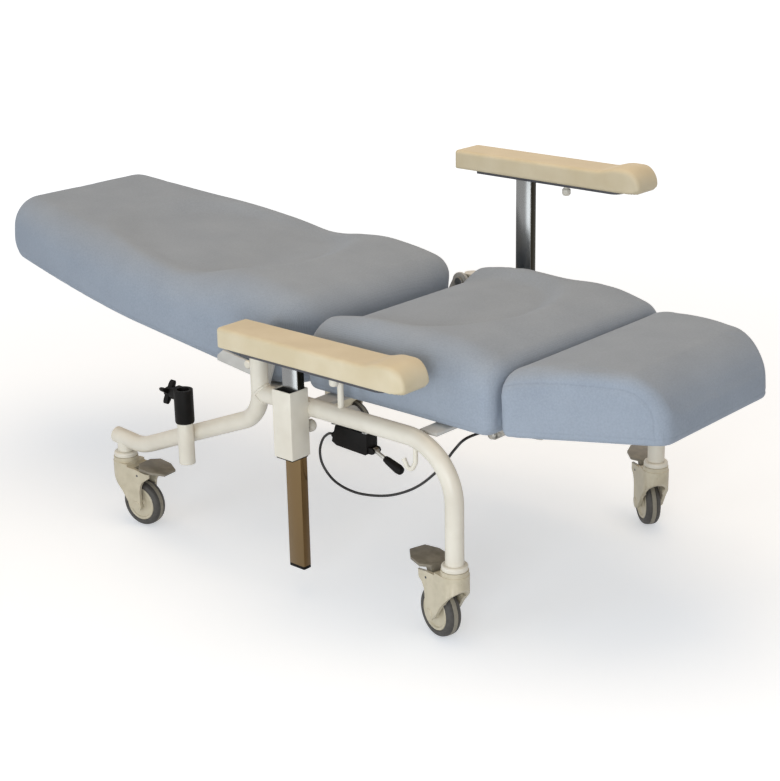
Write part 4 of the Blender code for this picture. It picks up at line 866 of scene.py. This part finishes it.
def swollen(piece, held):
    """Blow the cover up a little from inside, held at its board, and let no point move past
    the cap."""
    start = vectors(piece.data)
    group = piece.vertex_groups.new(name="held")
    group.add([int(index) for index in np.flatnonzero(held)], 1.0, "REPLACE")
    cloth = piece.modifiers.new("swell", "CLOTH")
    cover = cloth.settings
    cover.quality = 4
    cover.mass = 0.3
    cover.tension_stiffness = 12
    cover.compression_stiffness = 12
    cover.shear_stiffness = 6
    cover.bending_stiffness = 0.6
    cover.vertex_group_mass = "held"
    cover.shrink_min = -0.003
    cover.use_pressure = True
    cover.uniform_pressure_force = 4
    cover.effector_weights.gravity = 0
    cloth.collision_settings.use_collision = False
    cloth.point_cache.frame_start = 1
    cloth.point_cache.frame_end = SWELL_FRAMES
    scene = bpy.context.scene
    for number in range(1, SWELL_FRAMES + 1):
        scene.frame_set(number)
    graph = bpy.context.evaluated_depsgraph_get()
    end = vectors(piece.evaluated_get(graph).data)
    piece.modifiers.remove(cloth)
    scene.frame_set(1)
    shift = end - start
    reach = np.linalg.norm(shift, axis=1)
    shift *= np.minimum(1, SWELL_CAP / np.maximum(reach, 1e-9))[:, None]
    reshape(piece.data, start + shift)


def sewn(piece, body, floor, inset):
    """Sew the cover: a hem near the board and, with an inset, a seam inside each side panel's edge. Stores
    how far each point is from the nearest seam."""
    points = vectors(piece.data)
    facing = vectors(piece.data, "normal")
    seam = np.abs(floor(*points.T) + HEM) + np.maximum(0, np.abs(facing[:, 2]) - 0.6) * 0.1
    if inset:
        panel = np.abs(body(*points.T) + inset) + np.maximum(0, 0.75 - np.abs(facing[:, 1])) * 0.1
        seam = np.minimum(seam, panel)
    reshape(piece.data, points - facing * (SEAM_DEPTH * bell(seam / SEAM_WIDTH))[:, None])
    sewing = piece.data.attributes.new("seam", "FLOAT", "POINT")
    sewing.data.foreach_set("value", seam.astype(np.float32))


def add_cushion(kind, body, pivot, tilt, forms, skin, foot, inset=None):
    """One upholstered cushion: drawn to its form, swollen, sewn and set back on its body. skin is the size of
    its first squares, foot the radius of its lower edge and inset the panel seam's depth."""
    node = kind + "_cushion"
    place = Matrix.Translation(pivot) @ Matrix.Rotation(math.radians(tilt), 4, "Y")
    piece, low, high = skinned(node, kind + "_cover", place, skin)
    panel, side, floor, ends, edges = forms(low, high)

    def form(x, y, z):
        share = ramp((x - low.x) / (high.x - low.x) * EDGE_CHANGE)
        shape = rounded(panel(x, y, z), side(x, y, z), edges[0] + (edges[1] - edges[0]) * share)
        for reach, radius in ends(x):
            shape = rounded(shape, reach, radius)
        return rounded(shape, floor(x, y, z), foot) + SLACK

    base = frame["nodes"][kind + "_board"].data
    tree = BVHTree.FromPolygons([place.inverted() @ vertex.co for vertex in base.vertices],
                                [list(face.vertices) for face in base.polygons])
    points = vectors(piece.data)
    beside = np.array([tree.find_nearest(Vector(point), HELD_DEPTH)[0] is not None for point in points])
    fitted(piece, form, ~beside, 4)
    swollen(piece, beside | (vectors(piece.data)[:, 2] < low.z + HELD_HEIGHT))
    modified(piece, "SUBSURF", levels=1, render_levels=1)
    sewn(piece, panel, floor, inset)
    carried(piece, place)
    bpy.ops.object.shade_smooth()
    dress(piece, body, "blue_grey_upholstery", UPHOLSTERY, node)


def add_cushions():
    """Seat, backrest and leg rest."""
    back_pivot = joints["backrest_tilt"]["pos_m"]
    leg_pivot = joints["legrest_tilt"]["pos_m"]
    add_cushion("seat", "chassis", (0, 0, 0), 0, seat_forms, skin=0.007, foot=0.018)
    add_cushion("backrest", "backrest", back_pivot, BACK_TILT, back_forms, skin=0.008, foot=0.022)
    add_cushion("legrest", "legrest", leg_pivot, LEG_TILT, leg_forms, skin=0.006, foot=0.008, inset=0.024)


def add_armrests():
    """Moulded arm pads with the fittings under them, and the posts."""
    for side in SIDES:
        body = "armrest_" + side
        node = "armrest_pad_" + side
        pad, low, high = skinned(node, "armrest_foam_" + side, Matrix.Identity(4), PAD_SKIN)
        fitted(pad, pad_form(low, high), np.ones(len(pad.data.vertices), dtype=bool), 3)
        only(pad)
        bpy.ops.object.shade_smooth()
        dress(pad, body, "cream_polyurethane", CREAM_FOAM, node)
        for part, slot, finish, edge in (
                ("plate", "dark_steel", DARK_STEEL, 0.0006), ("post", "chromed_post", PAINTED_REFLECTION_CHROME, 0.0003),
                ("post_cap", "black_plastic", BLACK_PLASTIC, 0.0012),
                ("buffer", "white_powder_coat", POWDER_COAT, 0.0010)):
            node = "armrest_" + part + "_" + side
            dress(refined(node, edge), body, slot, finish, node)


# Frame

def painted(piece, *nodes):
    """Dress a piece of the frame in its white coat."""
    dress(piece, "chassis", "white_powder_coat", POWDER_COAT, *nodes)


def add_weld(name, path, closed=False):
    """A weld bead along a path, with the ripples of its passes."""
    swell = [1 + WELD_RIPPLE * math.sin(WELD_STEP * index) for index in range(len(path))]
    painted(swept(name, path, WELD_RADIUS, 12, closed, swell))


def add_front_tube(side, y):
    """Front leg and side tube, welded to the riser."""
    corners = ((RISER_X, y, FRONT_TUBE_Z), (FRONT_LEG_X, y, FRONT_TUBE_Z), (FRONT_LEG_X, y, CASTOR_TOP_Z))
    path = filleted(corners, (FRONT_BEND_RADIUS,))
    painted(swept("front_leg_tube_" + side, path, SWEPT_RADIUS, TUBE_SIDES), "front_tube_" + side)
    saddle = []
    for index in range(SADDLE_POINTS):
        angle = math.tau * index / SADDLE_POINTS
        across_tube = TUBE_RADIUS * math.sin(angle)
        up_tube = TUBE_RADIUS * math.cos(angle)
        reach = 0.9 * abs(up_tube) + 0.12 * TUBE_RADIUS
        saddle.append((RISER_X + reach, y + across_tube, FRONT_TUBE_Z + up_tube))
    add_weld("riser_weld_" + side, saddle, closed=True)


def add_socket(side, sign):
    """Square socket for the armrest's post, welded to the side tube, and the stop rod in front of it."""
    tube_y = sign * FRAME_HALF_WIDTH
    y = sign * (FRAME_HALF_WIDTH + TUBE_RADIUS - SOCKET_SINK + SOCKET_WIDTH / 2)
    low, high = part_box("socket_liner_" + side)
    low_z = low.z + LINER_FOOT
    high_z = high.z + SOCKET_RIM
    half = SOCKET_WIDTH / 2
    bore = half - SOCKET_WALL
    socket = slab("armrest_socket_" + side, (SOCKET_X - half, y - half, low_z),
                  (SOCKET_X + half, y + half, high_z))
    inner = slab("bore", (SOCKET_X - bore, y - bore, low_z - 0.01),
                 (SOCKET_X + bore, y + bore, high_z + 0.01))
    painted(eased(cut(socket, inner), 0.0014, 3))
    edge_y = y - sign * (half + 0.001)
    for height in (FRONT_TUBE_Z + WELD_HEIGHT, FRONT_TUBE_Z - WELD_HEIGHT):
        path = [(SOCKET_X - half + SOCKET_WIDTH * index / 14, edge_y, height) for index in range(15)]
        add_weld("socket_weld_%s_%d" % (side, height * 1000), path)
    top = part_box("armrest_plate_left")[0].z - TOUCH_GAP
    foot = (STOP_ROD_X, tube_y, FRONT_TUBE_Z)
    rod = bar("stop_rod_" + side, foot, (STOP_ROD_X, tube_y, top), STOP_ROD_RADIUS)
    painted(eased(rod, 0.0012))


def add_rear_tube(side, y):
    """Riser and sloping rear leg with the castor's stub and an end plug."""
    node = "rear_tube_" + side
    corners = ((RISER_X, y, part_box(node)[1].z), (RISER_X, y, REAR_ELBOW_Z), (REAR_BEND[0], y, REAR_BEND[1]),
               (REAR_END[0], y, REAR_END[1]))
    path = filleted(corners, (REAR_ELBOW_RADIUS, REAR_BEND_RADIUS))
    painted(swept("rear_leg_tube_" + side, path, SWEPT_RADIUS, TUBE_SIDES), node)
    foot = (REAR_STEM_X, y, CASTOR_TOP_Z)
    stub = bar("castor_stub_" + side, foot, (REAR_STEM_X, y, REAR_BEND[1] + 0.004), STUB_RADIUS, TUBE_SIDES)
    painted(eased(stub, 0.001))
    end = path[-1]
    outward = (end - path[-2]).normalized()
    plug = bar("tube_plug_" + side, end - outward * 0.004, end + outward * 0.0025, PLUG_RADIUS, TUBE_SIDES)
    dress(eased(plug, 0.0012), "chassis", "black_plastic", BLACK_PLASTIC)


def add_pole_holder():
    """Open holder tube welded to the left rear tube, and the clamp on it with its star knob."""
    x, y, z = joints["pole_knob_turn"]["pos_m"]
    low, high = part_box("pole_clamp")
    centre_x = high.x - CLAMP_RADIUS
    joint_z = low.z + CLAMP_LIFT
    top_z = high.z - CLAMP_RIM
    middle = Matrix.Translation((centre_x, y, 0))
    profile = [(HOLDER_RADIUS, joint_z), (HOLDER_RADIUS, HOLDER_LOW_Z), (POLE_BORE_RADIUS, HOLDER_LOW_Z),
               (POLE_BORE_RADIUS, joint_z), (HOLDER_RADIUS, joint_z)]
    painted(eased(carried(spun("pole_holder", profile, 48), middle), 0.0008))
    profile = [(CLAMP_FOOT_RADIUS, joint_z), (CLAMP_RADIUS, joint_z + CLAMP_FOOT), (CLAMP_RADIUS, top_z),
               (POLE_BORE_RADIUS, top_z), (POLE_BORE_RADIUS, joint_z), (CLAMP_FOOT_RADIUS, joint_z)]
    clamp = carried(spun("pole_clamp_head", profile, 56), middle)
    root_x = centre_x - CLAMP_BOSS_ROOT
    boss = bar("boss", (x + 0.0005, y, z), (root_x, y, z), CLAMP_BOSS_RADIUS, 40)
    cheek = slab("cheek", (x + 0.004, y - CLAMP_BOSS_RADIUS, z), (root_x, y + CLAMP_BOSS_RADIUS, top_z))
    cut(clamp, boss, "UNION")
    cut(clamp, cheek, "UNION")
    dress(eased(clamp, 0.0016), "chassis", "black_plastic", BLACK_PLASTIC, "pole_clamp")

    outline = []
    for index in range(96):
        angle = math.tau * index / 96
        lobe = (0.5 + 0.5 * math.cos(STAR_LOBES * angle)) ** 2.4
        radius = STAR_RADIUS * (STAR_WAIST + (1 - STAR_WAIST) * lobe)
        outline.append((radius * math.cos(angle + STAR_TURN), radius * math.sin(angle + STAR_TURN)))
    star = carried(drawn("pole_star_knob", outline, 0.012), Matrix.Translation((0, 0, 0.005)))
    hub = bar("hub", (0, 0, 0.0005), (0, 0, 0.0185), STAR_HUB_RADIUS, 32)
    eased(cut(star, hub, "UNION"), 0.0022, 3, 40)
    carried(star, Matrix.Translation((x, y, z)) @ Matrix.Rotation(-math.pi / 2, 4, "Y"))
    dress(star, "pole_knob", "black_plastic", BLACK_PLASTIC, "pole_knob")


def add_bag_hook():
    """Bent wire hook under the left front tube."""
    underside = FRONT_TUBE_Z - TUBE_RADIUS
    corners = [(x, -FRAME_HALF_WIDTH, underside + height) for x, height in HOOK_BENDS]
    hook = swept("bag_hook_wire", filleted(corners, HOOK_BEND_RADII, math.radians(8)), HOOK_RADIUS, 20)
    painted(eased(hook, 0.0012), "bag_hook")


def add_frame():
    """Tubes with what is welded to them."""
    for side, sign in SIDES.items():
        add_front_tube(side, sign * FRAME_HALF_WIDTH)
        add_socket(side, sign)
        add_rear_tube(side, sign * FRAME_HALF_WIDTH)
    add_pole_holder()
    add_bag_hook()


# Castors

def castor_frame(corner):
    """Place of a castor: its trail along X, its axle along Y, its swivel axis along Z."""
    axle = Vector(joints["roll_" + corner]["axis"]).normalized()
    trail = axle.cross(Vector((0, 0, 1)))
    turn = Matrix((trail, axle, Vector((0, 0, 1)))).transposed().to_4x4()
    return Matrix.Translation(joints["swivel_" + corner]["pos_m"]) @ turn


def across(piece):
    """Turn a piece drawn along Z so that it lies along Y, its outline in XZ."""
    return carried(piece, Matrix.Rotation(math.pi / 2, 4, "X"))


def studs(name, place, sunk, rise, radius, sides, edge):
    """A round stud on each side of the fork, at a place in XZ."""
    pair = []
    for sign in (-1, 1):
        start = (place[0], sign * (FORK_HALF - sunk), place[1])
        end = (place[0], sign * (FORK_HALF + rise), place[1])
        pair.append(eased(bar(name, start, end, radius, sides), edge))
    return pair


def castor_fork():
    """Moulded fork: rounded hood with an arch for the wheel, flat sides down to the axle's bosses and a
    stepped collar."""
    outline = [(-0.028, 0.138), (-0.028, 0.117), (-0.024, 0.1105), (-0.015, 0.1025), (0.008, 0.0765),
               (0.028, 0.046)]
    outline += arc(AXLE, FORK_END_RADIUS, 225, 390, 20)
    outline += [(0.0575, 0.0855), (0.060, 0.096), (0.066, 0.1055), (0.083, 0.117), (0.083, 0.125),
                (0.050, 0.131), (0.026, 0.133), (0.026, 0.138)]
    fork = across(drawn("castor_fork", outline, 2 * FORK_HALF))
    carried(fork, Matrix.Translation((0, FORK_HALF, 0)))
    plan = arc((0, 0), FORK_HALF, 90, 270, 32)
    plan += [(0.076, -FORK_HALF), (0.085, -0.022), (0.085, 0.022), (0.076, FORK_HALF)]
    cut(fork, drawn("plan", plan, 0.2), "INTERSECT")
    slot = bar("slot", (AXLE[0], -SLOT_HALF, AXLE[1]), (AXLE[0], SLOT_HALF, AXLE[1]), SLOT_RADIUS, 96)
    cut(fork, eased(slot, SLOT_EDGE, 6))
    cut(fork, bar("arch", (-0.06, 0, ARCH_Z), (0.02, 0, ARCH_Z), ARCH_RADIUS, 48))
    cut(fork, slab("well", (WELL_X, -SLOT_HALF, WELL_Z), (0.1, SLOT_HALF, 0.16)))
    collar = [(0, 0.130), (0.0272, 0.130), (0.0272, 0.1385), (0.0258, 0.1395), (0.0258, 0.1475), (0, 0.1475),
              (0, 0.130)]
    cut(fork, spun("collar", collar, 64), "UNION")
    eased(fork, 0.0011, 3, 28)
    return joined([fork] + studs("boss", AXLE, 0.004, 0.0012, BOSS_RADIUS, 40, 0.001))


def castor_ring():
    """Bearing ring between the fork and the leg, painted like the leg."""
    profile = [(0, 0.1478), (0.0245, 0.1478), (0.0245, 0.1555), (0.0228, 0.1578), (0, 0.1578), (0, 0.1478)]
    return eased(spun("castor_ring", profile, 64), 0.0008)


def castor_rivets():
    """Blind rivets through the sides."""
    return joined(studs("castor_rivets", RIVET, 0.002, 0.0008, RIVET_RADIUS, 20, 0.0006))


def wheel_hub():
    """Hub with a dished face and a boss about the axle."""
    profile = [(0.0056, 0), (0.0056, 0.0165), (0.0115, 0.0165), (0.0130, 0.0125), (0.0290, 0.0115),
               (0.0305, 0.0148), (0.0345, 0.0148), (0.0361, 0.0130), (0.0361, 0)]
    face = [(radius, -height) for radius, height in reversed(profile)]
    hub = spun("wheel_hub", profile + face[1:], 72)
    carried(across(hub), Matrix.Translation((AXLE[0], 0, AXLE[1])))
    return eased(hub, 0.0007, 3, 25)


def wheel_tyre():
    """Tyre with round shoulders and a fine line each side of its worn tread, which is stored for the
    finish."""
    half = [(TYRE_RADIUS, 0), (TYRE_RADIUS - 0.0001, TREAD_HALF), (TYRE_RADIUS - 0.0011, TREAD_HALF + 0.0004),
            (TYRE_RADIUS - 0.0011, TREAD_HALF + 0.0011), (TYRE_RADIUS - 0.0004, TREAD_HALF + 0.0016)]
    shoulder = arc((WHEEL_HALF - SHOULDER_RADIUS, TYRE_RADIUS - 0.0100), SHOULDER_RADIUS, 80, 0, 9)
    half += [(radius, height) for height, radius in shoulder]
    half += [(0.0378, 0.0152), (TYRE_INNER_RADIUS, 0.0138), (TYRE_INNER_RADIUS, 0)]
    profile = half + [(radius, -height) for radius, height in reversed(half)][1:]
    tyre = across(spun("wheel_tyre", profile, 96))
    points = vectors(tyre.data)
    worn = (np.abs(points[:, 1]) < TREAD_HALF + 0.0002) & (np.hypot(points[:, 0], points[:, 2]) > 0.048)
    tread = tyre.data.attributes.new("tread", "FLOAT", "POINT")
    tread.data.foreach_set("value", worn.astype(np.float32))
    carried(tyre, Matrix.Translation((AXLE[0], 0, AXLE[1])))
    only(tyre)
    bpy.ops.object.shade_smooth_by_angle(angle=math.radians(35))
    return tyre


def add_castors():
    """Four castors with their wheels and brake pedals, modelled once and copied to their places."""
    for model, node, body, slot, finish in (
            (castor_fork(), "castor_fork_", "castor_", "castor_nylon", CASTOR_NYLON),
            (castor_ring(), None, "castor_", "castor_nylon", POWDER_COAT),
            (castor_rivets(), None, "castor_", "castor_nylon", DARK_STEEL),
            (wheel_hub(), "wheel_hub_", "wheel_", "castor_nylon", CASTOR_NYLON),
            (wheel_tyre(), "wheel_tyre_", "wheel_", "grey_tyre", TYRE_RUBBER)):
        for corner in CORNERS:
            twin = copied(model, model.name + "_moulding_" + corner, castor_frame(corner))
            dress(twin, body + corner, slot, finish, *([node + corner] if node else []))
        bpy.data.objects.remove(model)
    for corner in CORNERS:
        node = "brake_pedal_" + corner
        dress(refined(node, 0.0014, 3), "pedal_" + corner, "pedal_plastic", PEDAL_PLASTIC, node)


# Fittings

def add_fittings():
    """Rigid solids whose form is right, with eased edges and their finishes."""
    fittings = (
        ("chassis", "zinc_steel", ZINC_STEEL, 0.0006,
         ("hinge_rod", "back_pivot_bolt_left", "back_pivot_bolt_right")),
        ("chassis", "zinc_steel", GREY_COAT, 0.0006, ("seat_frame", "lever_strap")),
        ("chassis", "black_plastic", BLACK_PLASTIC, 0.0007,
         ("socket_liner_left", "socket_liner_right", "lock_body_left", "lock_body_right", "gas_spring_rod",
          "lever_box")),
        ("chassis", "birch_board", PLYWOOD, 0.0008, ("seat_board",)),
        ("backrest", "birch_board", PLYWOOD, 0.0008, ("backrest_board",)),
        ("legrest", "birch_board", PLYWOOD, 0.0008, ("legrest_board",)),
        ("backrest", "zinc_steel", GREY_COAT, 0.0006, ("backrest_frame",)),
        ("legrest", "zinc_steel", ZINC_STEEL, 0.0006, ("legrest_arm_left", "legrest_arm_right")),
        ("release_lever", "zinc_steel", ZINC_STEEL, 0.0005, ("release_lever",)),
        ("release_lever", "black_plastic", BLACK_PLASTIC, 0.0010, ("lever_grip",)),
        ("gas_cylinder", "black_plastic", BLACK_PLASTIC, 0.0006, ("gas_spring_cylinder",)),
        ("lock_knob_left", "white_powder_coat", POWDER_COAT, 0.0010, ("lock_knob_left",)),
        ("lock_knob_right", "white_powder_coat", POWDER_COAT, 0.0010, ("lock_knob_right",)),
    )
    for body, slot, finish, edge, nodes in fittings:
        for node in nodes:
            dress(refined(node, edge), body, slot, finish, node)
    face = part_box("backrest_frame")[1].y
    for side, sign in SIDES.items():
        start = (CAP_X, sign * (face - 0.0005), CAP_Z)
        cap = bar("arm_screw_cap_" + side, start, (CAP_X, sign * (face + CAP_RISE), CAP_Z), CAP_RADIUS)
        dress(eased(cap, 0.0032, 4), "backrest", "white_powder_coat", POWDER_COAT)


bpy.context.scene.view_settings.view_transform = "Standard"
add_camera()
add_stage()
add_cable()
add_cushions()
add_armrests()
add_frame()
add_castors()
add_fittings()
